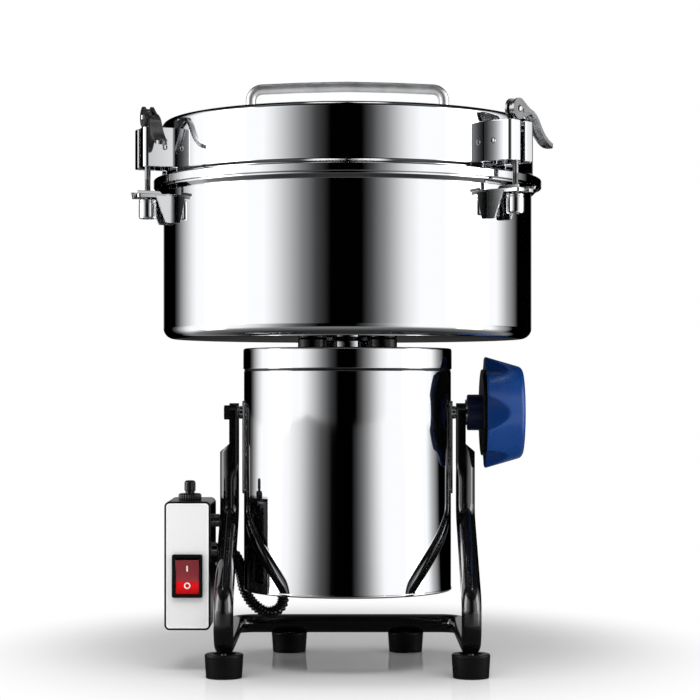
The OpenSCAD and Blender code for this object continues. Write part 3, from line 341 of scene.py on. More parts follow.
def rounded(points, steps=8, closed=False):
    """Corners (a, b, radius) of a plane line, with each radius rounded off in steps."""
    out = []
    count = len(points)
    for i, p in enumerate(points):
        radius = p[2] if len(p) > 2 else 0
        if not radius or (not closed and i in (0, count - 1)):
            out.append((p[0], p[1]))
            continue
        here = Vector(p[:2])
        back = Vector(points[i - 1][:2]) - here
        ahead = Vector(points[(i + 1) % count][:2]) - here
        half = back.angle(ahead)/2
        cut = min(radius/tan(half), back.length*0.499, ahead.length*0.499)
        radius = cut*tan(half)
        back.normalize()
        ahead.normalize()
        centre = here + (back + ahead).normalized()*(radius/sin(half))
        first = here + back*cut - centre
        last = here + ahead*cut - centre
        a0 = atan2(first.y, first.x)
        turn = (atan2(last.y, last.x) - a0 + pi) % (2*pi) - pi
        for k in range(steps + 1):
            a = a0 + turn*k/steps
            out.append((centre.x + radius*cos(a), centre.y + radius*sin(a)))
    return out


def supported(line, gap=0.4, closed=False):
    """Extra points close to the ends of long stretches, so smooth shading stays true there."""
    out = []
    count = len(line)
    for i in range(count):
        a = Vector(line[i])
        out.append(tuple(a))
        if i == count - 1 and not closed:
            break
        b = Vector(line[(i + 1) % count])
        if (b - a).length > 4*gap:
            step = (b - a).normalized()*gap
            out += [tuple(a + step), tuple(b - step)]
    return out


def turns(seg):
    return [2*pi*k/seg for k in range(seg)]


def lathe(profile, seg=96, closed=False):
    """Turns (radius, height) points about the local Z axis."""
    verts, faces = [], []
    count = len(profile)
    for a in turns(seg):
        verts += [(r*cos(a), r*sin(a), z) for r, z in profile]
    for k in range(seg):
        near, far = k*count, ((k + 1) % seg)*count
        for i in range(count if closed else count - 1):
            j = (i + 1) % count
            faces.append((near + i, far + i, far + j, near + j))
    return verts, faces


def turned(corners, seg=96, steps=8, gap=0.4, closed=True):
    """A closed ring, or a solid from axis to axis, from (radius, height, corner radius) points."""
    return lathe(supported(rounded(corners, steps, closed), gap, closed), seg, closed)


def cylinder(radius, low, high, seg):
    return lathe([(0, low), (radius, low), (radius, high), (0, high)], seg)


def prism(outline, low, high):
    """A plane outline raised from low to high along local Z."""
    n = len(outline)
    verts = [(x, y, low) for x, y in outline] + [(x, y, high) for x, y in outline]
    faces = [tuple(range(n))[::-1], tuple(range(n, 2*n))]
    faces += [(i, (i + 1) % n, n + (i + 1) % n, n + i) for i in range(n)]
    return verts, faces


def rect(x0, x1, y0, y1, radius=0.0, steps=6):
    return rounded([(x0, y0, radius), (x1, y0, radius), (x1, y1, radius), (x0, y1, radius)], steps, True)


def bent(points, radii, turn=5.0, gap=0.5):
    """A line in space through corners rounded by radii, in steps of turn degrees."""
    out = [Vector(points[0])]
    for i in range(1, len(points) - 1):
        here = Vector(points[i])
        back = (Vector(points[i - 1]) - here).normalized()
        ahead = (Vector(points[i + 1]) - here).normalized()
        half = back.angle(ahead)/2
        if not radii[i] or half > pi/2 - 1e-3:
            out.append(here)
            continue
        cut = radii[i]/tan(half)
        centre = here + (back + ahead).normalized()*(radii[i]/sin(half))
        first = (here + back*cut) - centre
        axis = back.cross(ahead).normalized()
        whole = pi - 2*half
        count = max(2, round(degrees(whole)/turn))
        for k in range(count + 1):
            out.append(centre + Matrix.Rotation(-whole*k/count, 3, axis) @ first)
    out.append(Vector(points[-1]))
    return [Vector(p) for p in supported(out, gap)]


def frames(path, first_side):
    """At each point of a path: the point, and two crossways directions carried along without twist."""
    out = []
    side = Vector(first_side).normalized()
    for i, p in enumerate(path):
        ahead = (path[min(i + 1, len(path) - 1)] - path[max(i - 1, 0)]).normalized()
        side = (side - ahead*side.dot(ahead)).normalized()
        out.append((p, side.copy(), ahead.cross(side)))
    return out


def rings_mesh(rings, cap=True):
    """Skins a list of equal rings of points."""
    n = len(rings[0])
    verts = [v for ring in rings for v in ring]
    faces = []
    for k in range(len(rings) - 1):
        for i in range(n):
            j = (i + 1) % n
            faces.append((k*n + i, k*n + j, (k + 1)*n + j, (k + 1)*n + i))
    if cap:
        faces.append(tuple(range(n))[::-1])
        faces.append(tuple(range((len(rings) - 1)*n, len(rings)*n)))
    return verts, faces


def tube_rings(path, radii, first_side, seg):
    """Round rings of points at each point of a path, each with its own radius."""
    return [[p + (u*cos(a) + v*sin(a))*r for a in turns(seg)]
            for (p, u, v), r in zip(frames(path, first_side), radii)]


def hexagon(flats, height, bore=0.0, low=0.0, chamfer=0.96, both=True):
    """A hexagon nut or bolt head with its turned-off corners, from low up along local Z."""
    inner = flats/2*chamfer
    rings = []
    for level in range(4):
        ring = []
        for a in turns(96):
            fold = (a + pi/6) % (pi/3) - pi/6
            reach = flats/2/cos(fold)
            drop = (reach - inner)*tan(pi/6)
            r = inner if level == 3 or level == 0 and both else reach
            z = (0, drop if both else 0.01, height - drop, height)[level]
            ring.append((r*cos(a), r*sin(a), low + z))
        rings.append(ring)
    if bore:
        rings += [[(bore*cos(a), bore*sin(a), z) for a in turns(96)] for z in (low + height, low)]
        rings.append(rings[0])
    return rings_mesh(rings, not bore)


def carve(shape, cutters):
    """A (points, faces) shape less other shapes, worked out exactly."""
    base = new_object("carved", shape, 1e-7)
    tools = [new_object("cutter", cutter, 1e-7) for cutter in cutters]
    for tool in tools:
        given(base.modifiers.new("cut", "BOOLEAN"), operation="DIFFERENCE", solver="EXACT", object=tool)
    bpy.context.view_layer.update()
    result = base.evaluated_get(bpy.context.evaluated_depsgraph_get())
    done = result.to_mesh()
    verts = [v.co*TO_MM for v in done.vertices]
    faces = [tuple(p.vertices) for p in done.polygons]
    result.to_mesh_clear()
    for obj in [base] + tools:
        mesh = obj.data
        bpy.data.objects.remove(obj)
        bpy.data.meshes.remove(mesh)
    return verts, faces


def shift(x=0.0, y=0.0, z=0.0):
    return Matrix.Translation((x, y, z))


def spin(angle, axis="Z"):
    return Matrix.Rotation(angle, 4, axis)


# How a shape made along Z is laid: along X, with its heights along Y, or a side view stood up
ALONG_X = spin(pi/2, "Y")
TO_FRONT = Matrix(((1, 0, 0, 0), (0, 0, 1, 0), (0, 1, 0, 0), (0, 0, 0, 1)))
STOOD_UP = Matrix(((0, 0, 1, 0), (1, 0, 0, 0), (0, 1, 0, 0), (0, 0, 0, 1)))


# -------- camera, light, floor

# Fitted to the photo: the camera is level, so upright lines stay upright, and the picture is shifted
lens = given(bpy.data.cameras.new("camera"), lens=107.4, sensor_width=36, shift_x=0.0036, shift_y=0.0523)
SCENE.camera = given(added("camera", lens), location=(0, -1.4585, 0.194), rotation_euler=(pi/2, 0, 0))
SCENE.view_settings.view_transform = "Standard"


def lamp(name, place, aim, width, height, power):
    """A soft light that nothing mirrors: steel sees the studio's panels instead."""
    data = given(bpy.data.lights.new(name, "AREA"), shape="RECTANGLE",
                 size=width, size_y=height, energy=power)
    turn = (Vector(aim) - Vector(place)).to_track_quat("-Z", "Y").to_euler()
    given(added(name, data), location=place, rotation_euler=turn, visible_glossy=False)


lamp("top_softbox", (0.0, -0.9, 1.8), (0, -0.05, 0.0), 1.6, 1.0, 27)
lamp("left_softbox", (-1.7, -0.9, 1.0), (0, 0, 0.2), 1.0, 1.6, 10)
lamp("right_softbox", (1.7, -0.9, 1.0), (0, 0, 0.2), 1.0, 1.6, 10)

# What polished steel and the floor mirror: brightness by direction, in degrees from the front.
# White panels stand at both sides, with black in front and behind.
AROUND = [(-180, 0.04), (-167, 0.0), (-134.5, 0.0), (-129, 0.10), (-111, 0.84), (-106, 1.0), (-98, 1.0),
          (-94, 3.4), (-68, 3.4), (-64, 1.0), (-52, 1.0), (-45, 0.80), (-38, 0.55), (-32, 0.35), (-27, 0.205),
          (-19, 0.055), (-10.5, 0.0), (9, 0.0), (14.7, 0.06), (23, 0.26), (27.5, 0.43), (36, 0.78),
          (45, 1.0), (62, 1.0), (66, 3.4), (92, 3.4), (96, 1.0), (104, 1.0), (116, 0.38), (130, 0.0),
          (167, 0.0), (180, 0.04)]
# How much of the panels shows by height, from straight down (0) to straight up (1)
HEIGHT = [(0.0, 1.0), (0.775, 1.0), (0.83, 0.04), (0.984, 0.03), (0.992, 0.9), (1.0, 1.0)]
# Behind the object: a bright band just over the horizon, which the floor mirrors, and a faint glow above
BEHIND = [(-180, 1.0), (-169, 1.0), (-163, 0.0), (163, 0.0), (169, 1.0), (180, 1.0)]
ABOVE = [(0.0, 0.0), (0.503, 0.0), (0.512, 0.22), (0.59, 0.22), (0.63, 0.06), (0.90, 0.10), (1.0, 0.07)]
# The panels again, as a painted reflection in the floor that the casing mirrors, and a painted shadow on the
# floor near the object
BELOW_PAINTED_REFLECTION = [(-180, 0.0), (-139, 0.0), (-131, 0.10), (-122, 0.45), (-116, 0.80), (-110, 1.0), (-98, 1.0),
         (-94, 3.0), (-80, 3.0), (-76, 1.0), (-67, 0.95), (-54, 0.70), (-41.5, 0.33), (-35, 0.18),
         (-29, 0.083), (-17, 0.002), (-12, 0.0), (5, 0.0), (10, 0.045), (15.5, 0.13), (21, 0.27), (27, 0.50),
         (33, 0.74), (39, 0.955), (44, 1.0), (66, 1.0), (70, 3.0), (86, 3.0), (90, 1.0), (96, 1.0),
         (105, 0.48), (120, 0.0)]
PAINTED_SHADOW_NEAR = [(0.0, 0.004), (0.13, 0.008), (0.20, 0.03), (0.28, 0.05), (0.37, 0.0)]
PANELS_PAST_PAINTED_SHADOW = [(0.26, 0.0), (0.38, 1.0)]
LEVEL = 1.16        # strength of a panel of brightness 1
PEAK = 4            # a ramp holds 1 at most, so the tables are divided by this
SOFT_SKY = 0.58     # what lights everything that doesn't mirror


def studio_panels(tree, source, panels):
    """The panels' brightness seen in the direction, or at the place, that source points to."""
    way = split(tree, source)
    bearing = worked_out(tree, "ARCTAN2", way["X"], worked_out(tree, "MULTIPLY", way["Y"], -1))
    turn = span(tree, bearing, 0, 1, -pi, pi)
    return ramp(tree, turn, [((a + 180)/360, v/PEAK) for a, v in panels])


def make_sky():
    """The studio for mirrored rays, an even light for the others, and white for the camera."""
    world = bpy.data.worlds.new("studio")
    SCENE.world = world
    world.use_nodes = True
    tree = world.node_tree
    tree.nodes.clear()

    def background(color, strength):
        return node(tree, "ShaderNodeBackground", {"Color": color, "Strength": strength}).outputs[0]

    way = position(tree, "Generated")
    rise = span(tree, split(tree, way)["Z"], 0, 1, -1, 1)
    around = blended(tree, "MULTIPLY", studio_panels(tree, way, AROUND), ramp(tree, rise, HEIGHT))
    glow = blended(tree, "MULTIPLY", studio_panels(tree, way, BEHIND), ramp(tree, rise, ABOVE))
    studio = background(blended(tree, "ADD", around, glow), LEVEL*PEAK)
    rays = node(tree, "ShaderNodeLightPath").outputs
    unseen = mixed(tree, rays["Is Glossy Ray"], background(WHITE, SOFT_SKY), studio)
    sky = mixed(tree, rays["Is Camera Ray"], unseen, background(WHITE, 1.0))
    node(tree, "ShaderNodeOutputWorld", {"Surface": sky})


def make_floor(size=9, oval=(0.30, 0.36), oval_back=0.09, far_at=1.5):
    """A pale, slightly glossy floor that fades to the white backdrop away from the object."""
    mesh = bpy.data.meshes.new("floor")
    corners = [(-size, -size, 0), (size, -size, 0), (size, size, 0), (-size, size, 0)]
    mesh.from_pydata(corners, [], [(0, 1, 2, 3)])
    obj = added("floor", mesh)
    mat, tree, bsdf = new_material("floor", (0.93, 0.93, 0.93), 0.0, 0.08, {"Specular IOR Level": 0.5})
    spot = position(tree)
    rays = node(tree, "ShaderNodeLightPath").outputs
    # Seen straight, it turns white outside an oval that reaches further behind than in front
    inputs = {"Scale": (1/oval[0], 1/oval[1], 1), "Location": (0, -oval_back/oval[1], 0), "Vector": spot}
    out = length(tree, node(tree, "ShaderNodeMapping", inputs).outputs[0])
    fade = span(tree, out, 0, 1, 0.45, 1.0, "SMOOTHSTEP")
    white = node(tree, "ShaderNodeEmission", {"Color": WHITE}).outputs[0]
    seen = mixed(tree, worked_out(tree, "MULTIPLY", fade, rays["Is Camera Ray"]), bsdf.outputs[0], white)
    # Seen in the steel, it carries a painted reflection of the studio's panels and a painted shadow close to the
    # object
    far = span(tree, length(tree, spot), 0, 1, 0, far_at)
    around = blended(tree, "MULTIPLY", studio_panels(tree, spot, BELOW_PAINTED_REFLECTION), ramp(tree, far, PANELS_PAST_PAINTED_SHADOW))
    painted_reflection_and_shadow = blended(tree, "ADD", around, ramp(tree, far, PAINTED_SHADOW_NEAR))
    mirrored = node(tree, "ShaderNodeEmission", {"Color": painted_reflection_and_shadow, "Strength": LEVEL*PEAK}).outputs[0]
    surface = mixed(tree, rays["Is Glossy Ray"], seen, mirrored)
    feed(tree, tree.nodes["Material Output"], {"Surface": surface})
    mesh.materials.append(mat)


make_sky()
make_floor()

# -------- CAD nodes that stay, with their finish

KEPT = (
    (BRIGHT, ("foot_screws", "box_standoffs", "handle_nuts", "base_cover",
              "lock_stud", "pivot_nuts", "blade_nut", "lock_washer")),
    (PLASTIC, ("breaker_body", "box_hose_gland", "motor_hose_gland", "cooling_fan")),
    (BEARING, ("bearings", "rotor_shaft")),
    (BLADE, ("lower_blade", "blade_spacer", "upper_blade")),
    (LAMINATIONS, ("stator_core", "armature_core")),
    (COPPER, ("field_coils", "commutator")),
    (BRASS, ("brush_gear",)),
    (SILICONE, ("lid_gasket",)),
    (RUBBER, ("shaft_seal",)),
)
for material, names in KEPT:
    for name in names:
        NODES[name].data.materials.clear()
        NODES[name].data.materials.append(material)


# -------- stand

PIVOT_Z = 176                   # the cross axis that the head tilts about
AT_PIVOT = shift(0, 0, PIVOT_Z) @ ALONG_X
TUBE_R, TUBE_X = 6.65, 82.3
FRONT_Y, REAR_Y, LOW_Z = -74, 73, 20.55
LEG_TOP_Z, KNEE_Z, FRONT_KNEE_Z = 128, 105, 52
BEND_R = 15
# Over LUG_RUN the upright is pressed into a lug, and its outer half slopes away up to LUG_CUT_Z
LUG_HALF, LUG_RUN = 6.5, 13
LUG_CUT_Z, LUG_CUT_SLOPE = 155, 0.839
LUG_LEVELS = (129, 131, 133, 135, 137, 139, 141, 144, 147, 148.6, 149.5, 151, 153, 154.2, LUG_CUT_Z, 158, 170,
              PIVOT_Z)


def lug_ring(ring, side, z, share, narrow=1.0):
    """A ring of the upright tube, pressed into the flat lug: outer half cut away, inner half squared."""
    out = []
    clip = min(TUBE_R, max(0.0, (LUG_CUT_Z - z)/LUG_CUT_SLOPE - 1))
    for p in ring:
        u, v = (p.x - side*TUBE_X)*side, p.y
        a = atan2(v, u)
        u = min(u, clip)
        if cos(a) <= 0:
            reach = LUG_HALF/(abs(cos(a))**8 + abs(sin(a))**8)**0.125
            square = (reach*cos(a), reach*sin(a))
        else:
            square = (u, LUG_HALF*copysign(min(1, abs(v)/TUBE_R), v))
        u += (square[0] - u)*share
        v += (square[1] - v)*share
        out.append(Vector((side*(TUBE_X + u), v*narrow, z)))
    return out


def stand_tube():
    """One bent tube: up both sides, with flattened lugs at its ends, and across behind."""
    leg = [(0, LEG_TOP_Z), (0, KNEE_Z), (FRONT_Y, FRONT_KNEE_Z), (FRONT_Y, LOW_Z), (REAR_Y, LOW_Z)]
    path = [(-TUBE_X, y, z) for y, z in leg] + [(TUBE_X, y, z) for y, z in reversed(leg)]
    line = bent(path, [0] + [BEND_R]*8 + [0], 4)
    rings = tube_rings(line, [TUBE_R]*len(line), (-1, 0, 0), 56)
    for side in (-1, 1):
        base = rings[0] if side < 0 else rings[-1]
        stack = []
        for z in LUG_LEVELS:
            share = min(1, (z - LEG_TOP_Z)/LUG_RUN)
            stack.append(lug_ring(base, side, z, share*share*(3 - 2*share)))
        for k in range(1, 13):
            a = pi/2*k/12
            stack.append(lug_ring(base, side, PIVOT_Z + LUG_HALF*sin(a), 1, max(0.004, cos(a))))
        rings = stack[::-1] + rings if side < 0 else rings + stack
    piece("stand_tubes", rings_mesh(rings), "frame_paint", "stand",
          ("left_side_tube", "right_side_tube", "rear_cross_tube"), smooth=38)


def feet(name, x, y, height, node_name):
    """A pair of moulded feet: a soft belly, and a shallow recess at the floor and in the top."""
    foot = turned([(0, 0.9), (9, 0.9, 0.5), (9.6, 0, 0.4), (12.0, 0, 0.6), (12.35, 5),
                   (12.95, height - 0.9, 0.5), (12.3, height, 0.5), (7.6, height, 0.6),
                   (7.2, height - 0.8, 0.4), (0, height - 0.8)], 72, 5, 0.3, False)
    piece(name, copies(foot, [shift(-x, y), shift(x, y)]), "foot_rubber", "stand", (node_name,))


stand_tube()
feet("front_feet_rubber", TUBE_X, -66.5, 16, "front_feet")
feet("rear_feet_rubber", 42.6, REAR_Y, 14.6, "rear_feet")

# -------- switch box

BOX_X0, BOX_X1, BOX_Z0, BOX_Z1 = -124.3, -92.9, 28.7, 116.0
BOX_FRONT_Y, BOX_BACK_Y = -40.9, 17.8
CUT_Y = (-43, -39)
ROCKER_X, ROCKER_Y, ROCKER_Z = -108.6, -37, 65.6
ROCK = radians(6)
RESET_Y = -18
GLAND_Z = 48.7
HOSE_POINTS = ((-89.4, 10, 77), (-81, 10, 77), (-76.6, 14, 70), (-75, 20, 61), (-73, 24, 50),
               (-67, 25, 40), (-58, 25, 34), (-50, 24.5, 35.6), (-46, 24, 41), (-46, 24, 49))


def box_outline(inset, radius):
    return rect(BOX_X0 + inset, BOX_X1 - inset, BOX_Z0 + inset, BOX_Z1 - inset, radius)


def rocker_outline(half_x, half_z, radius):
    return rect(ROCKER_X - half_x, ROCKER_X + half_x, ROCKER_Z - half_z, ROCKER_Z + half_z, radius)


def switch_box():
    """A black shell, and on its front a white panel with a raised rim inside a black trim."""
    shell = prism(box_outline(0, 3.5), BOX_FRONT_Y, BOX_BACK_Y)
    piece("box_shell", shell, "box_shell", "stand", ("switch_box_body",), TO_FRONT, bevel=0.9)
    trim = carve(prism(box_outline(0, 3.5), -42, -40.7), [prism(box_outline(1.3, 2.3), *CUT_Y)])
    piece("box_front_trim", trim, "black_plastic", "stand", (), TO_FRONT, bevel=0.35, material=TRIM)
    # The rim is whiter than the panel: a painted highlight along the panel's edge
    rim = carve(prism(box_outline(1.3, 2.3), -42.2, -40.8), [prism(box_outline(2.3, 1.3), *CUT_Y)])
    piece("box_panel_rim", rim, "box_panel", "stand", (), TO_FRONT, bevel=0.3, material=RIM_PAINTED_HIGHLIGHT)
    hole = prism(rocker_outline(9.8, 14.3, 0.5), -44, -39)
    field = carve(prism(box_outline(2.2, 1.2), -41.95, -40.8), [hole])
    piece("box_panel_face", field, "box_panel", "stand", ("switch_box_panel",), TO_FRONT, bevel=0.15)


def rocker_switch():
    """A housing with its bezel, a rocker with two sloping faces, and the two signs on them."""
    well = prism(rocker_outline(8.25, 12.65, 0.5), -45, -31)
    bezel = carve(prism(rocker_outline(10.4, 14.7, 1.4), -44.2, -42.15), [well])
    housing = carve(prism(rocker_outline(9.6, 14.1, 0.4), -42.2, -26), [well])
    piece("rocker_bezel", join([bezel, housing]), "black_plastic", "stand", ("rocker_housing",), TO_FRONT,
          bevel=0.35)
    half, reach, depth, dip = 12.4, 11.8, 7.4, 1.4
    line = [(4, -3), (-3, -half + 1.2)]
    for k in range(-12, 13):
        line.append((-depth + dip*sin((1 - abs(k)/12)*pi/2)**1.2, reach*k/12))
    line += [(-3, half - 1.2), (4, 3)]
    tip = shift(0, ROCKER_Y, ROCKER_Z) @ spin(ROCK, "X") @ shift(0, -ROCKER_Y, -ROCKER_Z)
    tipped = tip @ (shift(ROCKER_X, ROCKER_Y, ROCKER_Z) @ STOOD_UP)
    piece("rocker_lens", prism(line, -8, 8), "rocker_red", "switch_rocker", ("rocker",), tipped,
          bevel=0.45, steps=4)
    # The two signs lie just proud of the sloping faces
    slope = atan2(dip, reach)
    bar = prism(rect(-0.5, 0.5, -2.0, 2.0, 0.25), 0.12, 0.3)
    ring = lathe(rounded([(1.35, 0.12), (2.2, 0.12), (2.2, 0.3, 0.08), (1.35, 0.3, 0.08)], 2, True), 48, True)
    marks = []
    for sign, mark in ((-1, ring), (1, bar)):
        base = tipped @ shift(-6.78, sign*reach/2) @ spin(sign*slope) @ spin(-pi/2, "Y")
        marks.append(moved(mark, base))
    piece("rocker_signs", join(marks), "box_panel", "switch_rocker", material=MARK)


def reset_button():
    """A ring nut with teeth on the box's top, and the round button that stands in it."""
    place = shift(ROCKER_X, RESET_Y, BOX_Z1)
    teeth = 24
    rings = []
    for r_tooth, r_gap, z in ((5.2, 5.2, 4.4), (7.0, 7.0, 4.4), (7.75, 7.5, 3.7), (7.95, 7.5, 3.2),
                              (7.95, 7.5, 0.6), (7.6, 7.4, 0.0), (5.2, 5.2, 0.0)):
        ring = []
        for a in turns(6*teeth):
            r = r_gap + (r_tooth - r_gap)*(0.5 + 0.5*cos(a*teeth))**0.5
            ring.append((r*cos(a), r*sin(a), z))
        rings.append(ring)
    nut = rings_mesh(rings + [rings[0]], False)
    piece("reset_nut_ring", nut, "black_plastic", "stand", ("reset_nut",), place, smooth=40)
    cap = turned([(0, -2), (3.2, -2), (3.2, 6.0, 0.2), (3.85, 6.3, 0.3), (3.85, 13.4, 3.6), (0, 13.4)],
                 64, 12, 0.3, False)
    piece("reset_button_cap", cap, "black_plastic", "reset_plunger", ("reset_button",), place)


def mains_gland():
    nut = hexagon(17, 5, 3.8, 18)
    dome = turned([(3.8, 23), (7.0, 23, 0.3), (7.0, 26.5), (6.6, 30, 1.2), (3.8, 30, 0.6)], 72)
    back = shift(ROCKER_X, 0, GLAND_Z) @ spin(-pi/2, "X")
    piece("mains_gland_body", join([nut, dome]), "black_plastic", "stand", ("mains_gland",), back)


def link_hose(ribs=34, steps=12, low_r=3.2, rib=1.0):
    """The ribbed hose between the box and the motor: its section swells at every rib."""
    points = [Vector(p) for p in HOSE_POINTS]
    full = [2*points[0] - points[1]] + points + [2*points[-1] - points[-2]]
    dense = []
    for i in range(1, len(full) - 2):
        a, b, c, d = full[i - 1:i + 3]
        for k in range(60):
            t = k/60
            curve = 2*b + (c - a)*t + (2*a - 5*b + 4*c - d)*t*t + (3*b - a - 3*c + d)*t**3
            dense.append(0.5*curve)
    dense.append(points[-1])
    far = [0.0]
    for a, b in zip(dense, dense[1:]):
        far.append(far[-1] + (b - a).length)
    line, radii = [], []
    at = 0
    for k in range(ribs*steps + 1):
        want = far[-1]*k/(ribs*steps)
        while at < len(far) - 2 and far[at + 1] < want:
            at += 1
        share = (want - far[at])/(far[at + 1] - far[at])
        line.append(dense[at].lerp(dense[at + 1], share))
        radii.append(low_r + rib*(0.5 - 0.5*cos(2*pi*k/steps))**0.6)
    shape = rings_mesh(tube_rings(line, radii, (0, 1, 0), 28))
    obj = piece("link_hose_ribbed", shape, "black_plastic", None, ("link_hose",), smooth=70, material=HOSE)
    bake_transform(obj)


switch_box()
rocker_switch()
reset_button()
mains_gland()
link_hose()

# -------- head: bowl, lid, motor

WALL = 1.5                      # of the bowl and the lid
BOWL_R, BOWL_Z = 128, 227
RIM_R, RIM_LOW_Z, RIM_TOP_Z = 132.1, 327.4, 333.2
LID_R, LID_TOP_Z, LID_FLAT_R = 129.0, 376.5, 121.0
SKIRT_R, SKIRT_Z = 133.5, 331.0
HANDLE_X, HANDLE_Z, HANDLE_R = 67.4, 401.1, 3.6
CASE_R, CASE_IN_R, CASE_Z, CASE_TOP_Z = 72.2, 71.0, 53, 206.4
CAP_R, CAP_LOW_Z, CAP_TOP_Z, CAP_WALL = 72.7, 206.2, 220.5, 1.2
BOSS_R, BOSS_IN_R, BOSS_TOP_Z = 20.5, 6.5, 225.9
BUFFER_AT = 34


def bowl():
    """The bowl with its rolled rim, open at the boss."""
    inside_r, inside_z = BOWL_R - WALL, BOWL_Z + WALL
    middle = (129.3, RIM_TOP_Z)
    line = rounded([(BOSS_R, BOWL_Z), (BOWL_R, BOWL_Z, 7.5), (BOWL_R, RIM_LOW_Z, 0.3),
                    (129.4, RIM_LOW_Z, 0.5), (RIM_R, 329.9, 0.6), (RIM_R, RIM_TOP_Z, 1.6), middle], 16)[:-1]
    line += rounded([middle, (inside_r, RIM_TOP_Z, 0.6), (inside_r, inside_z, 6), (BOSS_R, inside_z),
                     (BOSS_R, BOWL_Z)], 12)[1:-1]
    shape = lathe(supported(line, 0.4, True), 256, True)
    piece("bowl_shell", shape, "polished_steel", "head", ("bowl",), smooth=28)


def lid():
    """The lid and the skirt that steps out over the bowl's rim; its flat top has its own finish."""
    inside_r, inside_z = LID_R - WALL, LID_TOP_Z - WALL
    outer = rounded([(SKIRT_R, SKIRT_Z), (134.8, SKIRT_Z, 0.6), (134.9, 336.4, 1.2), (LID_R, 339.0, 2.6),
                     (LID_R, LID_TOP_Z, 6.0), (LID_FLAT_R, LID_TOP_Z), (0, LID_TOP_Z)], 12)
    inner = rounded([(0, inside_z), (inside_r, inside_z, 4.5), (inside_r, 338.0, 1.6), (SKIRT_R, 335.4, 0.8),
                     (SKIRT_R, SKIRT_Z)], 10)
    shape = lathe(supported(outer) + supported(inner), 256)
    shell = piece("lid_shell", shape, "polished_steel", "head", ("lid",), smooth=28)
    shell.data.materials.append(LID_TOP)
    for face in shell.data.polygons:
        x, y, z = face.center*TO_MM
        if z > LID_TOP_Z - 0.01 and hypot(x, y) < LID_FLAT_R:
            face.material_index = 1


def handle():
    """A bent rod, slightly arched, with a collar where each end meets the lid."""
    low = LID_TOP_Z - 0.3
    line = bent([(-HANDLE_X, 0, low), (-HANDLE_X, 0, HANDLE_Z), (0, 0, HANDLE_Z + 3), (HANDLE_X, 0, HANDLE_Z),
                 (HANDLE_X, 0, low)], [0, 8, 757, 8, 0], 4)
    bar = rings_mesh(tube_rings(line, [HANDLE_R]*len(line), (0, 1, 0), 48))
    collar = turned([(3.2, 0), (5.6, 0, 0.2), (5.4, 0.9, 0.5), (3.2, 1.0)], 48)
    collars = copies(collar, [shift(-HANDLE_X, 0, LID_TOP_Z), shift(HANDLE_X, 0, LID_TOP_Z)])
    piece("lid_handle_bar", join([bar, collars]), "satin_steel", "head", ("lid_handle",))


def casing():
    """The motor's casing, its cap with the boss under the bowl, and the four buffers between."""
    line = rounded([(CASE_IN_R, CASE_Z), (72.5, CASE_Z, 0.5), (72.5, 54.6, 0.4), (CASE_R, 54.9, 0.3),
                    (CASE_R, 204.6, 0.3), (71.2, 205.0, 0.2), (71.2, CASE_TOP_Z)], 5)
    shape = lathe(supported(line + [(CASE_IN_R, CASE_TOP_Z)], 0.4, True), 224, True)
    piece("motor_casing_shell", shape, "polished_steel", "head", ("motor_casing",), smooth=40)
    inside_r, inside_z = CAP_R - CAP_WALL, CAP_TOP_Z - CAP_WALL
    cap = turned([(inside_r, CAP_LOW_Z), (CAP_R, CAP_LOW_Z, 0.35), (CAP_R, CAP_TOP_Z, 1.6),
                  (BOSS_R, CAP_TOP_Z, 0.5), (BOSS_R, BOSS_TOP_Z, 0.6), (BOSS_IN_R, BOSS_TOP_Z),
                  (BOSS_IN_R, inside_z), (inside_r, inside_z, 1.0)], 224, 7)
    piece("motor_cap_shell", cap, "polished_steel", "head", ("motor_cap",), smooth=40)
    # A black ring in the seam between casing and cap: painted shade standing in for the dark line of the gap
    seam_shade = turned([(70.9, 204.4), (71.9, 204.4, 0.2), (71.9, 206.3, 0.2), (70.9, 206.3)], 160)
    piece("cap_seam_shade_ring", seam_shade, "foot_rubber", "head")
    spots = [spin(radians(45 + 90*k)) @ shift(BUFFER_AT) for k in range(4)]
    buffer = turned([(0, CAP_TOP_Z), (9.2, CAP_TOP_Z, 0.2), (10, 221.2, 0.4), (10, 226.3, 0.4),
                     (9.2, BOWL_Z, 0.2), (0, BOWL_Z)], 64, 4, 0.2, False)
    piece("bowl_buffers", copies(buffer, spots), "foot_rubber", "head", ("bowl_standoffs",), smooth=30)
    screw = turned([(0, 228.5), (4.5, 228.5, 0.3), (4.5, 231.5, 1.0), (0, 231.8)], 40)
    piece("buffer_screw_heads", copies(screw, spots), "bright_steel", "head", (), smooth=30)


def trunnion_plates():
    """Plates curved to the casing, with the bosses that the two pivots run in."""
    half_y, low_z, high_z, corner, rows = 13, 120, 184, 3, 28
    inner_r, outer_r = CASE_R + 0.02, CASE_R + 1.2
    verts, faces = [], []
    for k in range(rows + 1):
        y = half_y*cos(pi*(1 - k/rows))
        edge = max(0.0, corner - (half_y - abs(y)))
        drop = corner - sqrt(corner*corner - edge*edge)
        for r, z in ((inner_r, low_z + drop), (outer_r, low_z + drop), (outer_r, high_z - drop),
                     (inner_r, high_z - drop)):
            verts.append((r*cos(y/CASE_R), r*sin(y/CASE_R), z))
    for k in range(rows):
        faces += [(4*k + i, 4*k + 4 + i, 4*k + 4 + (i + 1) % 4, 4*k + (i + 1) % 4) for i in range(4)]
    faces += [(0, 1, 2, 3), tuple(4*rows + i for i in (3, 2, 1, 0))]
    boss = turned([(3.15, 71.6), (4.5, 71.6), (4.5, 75.5, 0.4), (3.15, 75.5, 0.2)], 48)
    shape = []
    for side in (0, 1):
        about = spin(side*pi)
        shape += [moved((verts, faces), about), moved(boss, about @ AT_PIVOT)]
    piece("trunnion_plates_curved", join(shape), "polished_steel", "head", ("trunnion_plates",), bevel=0.25)


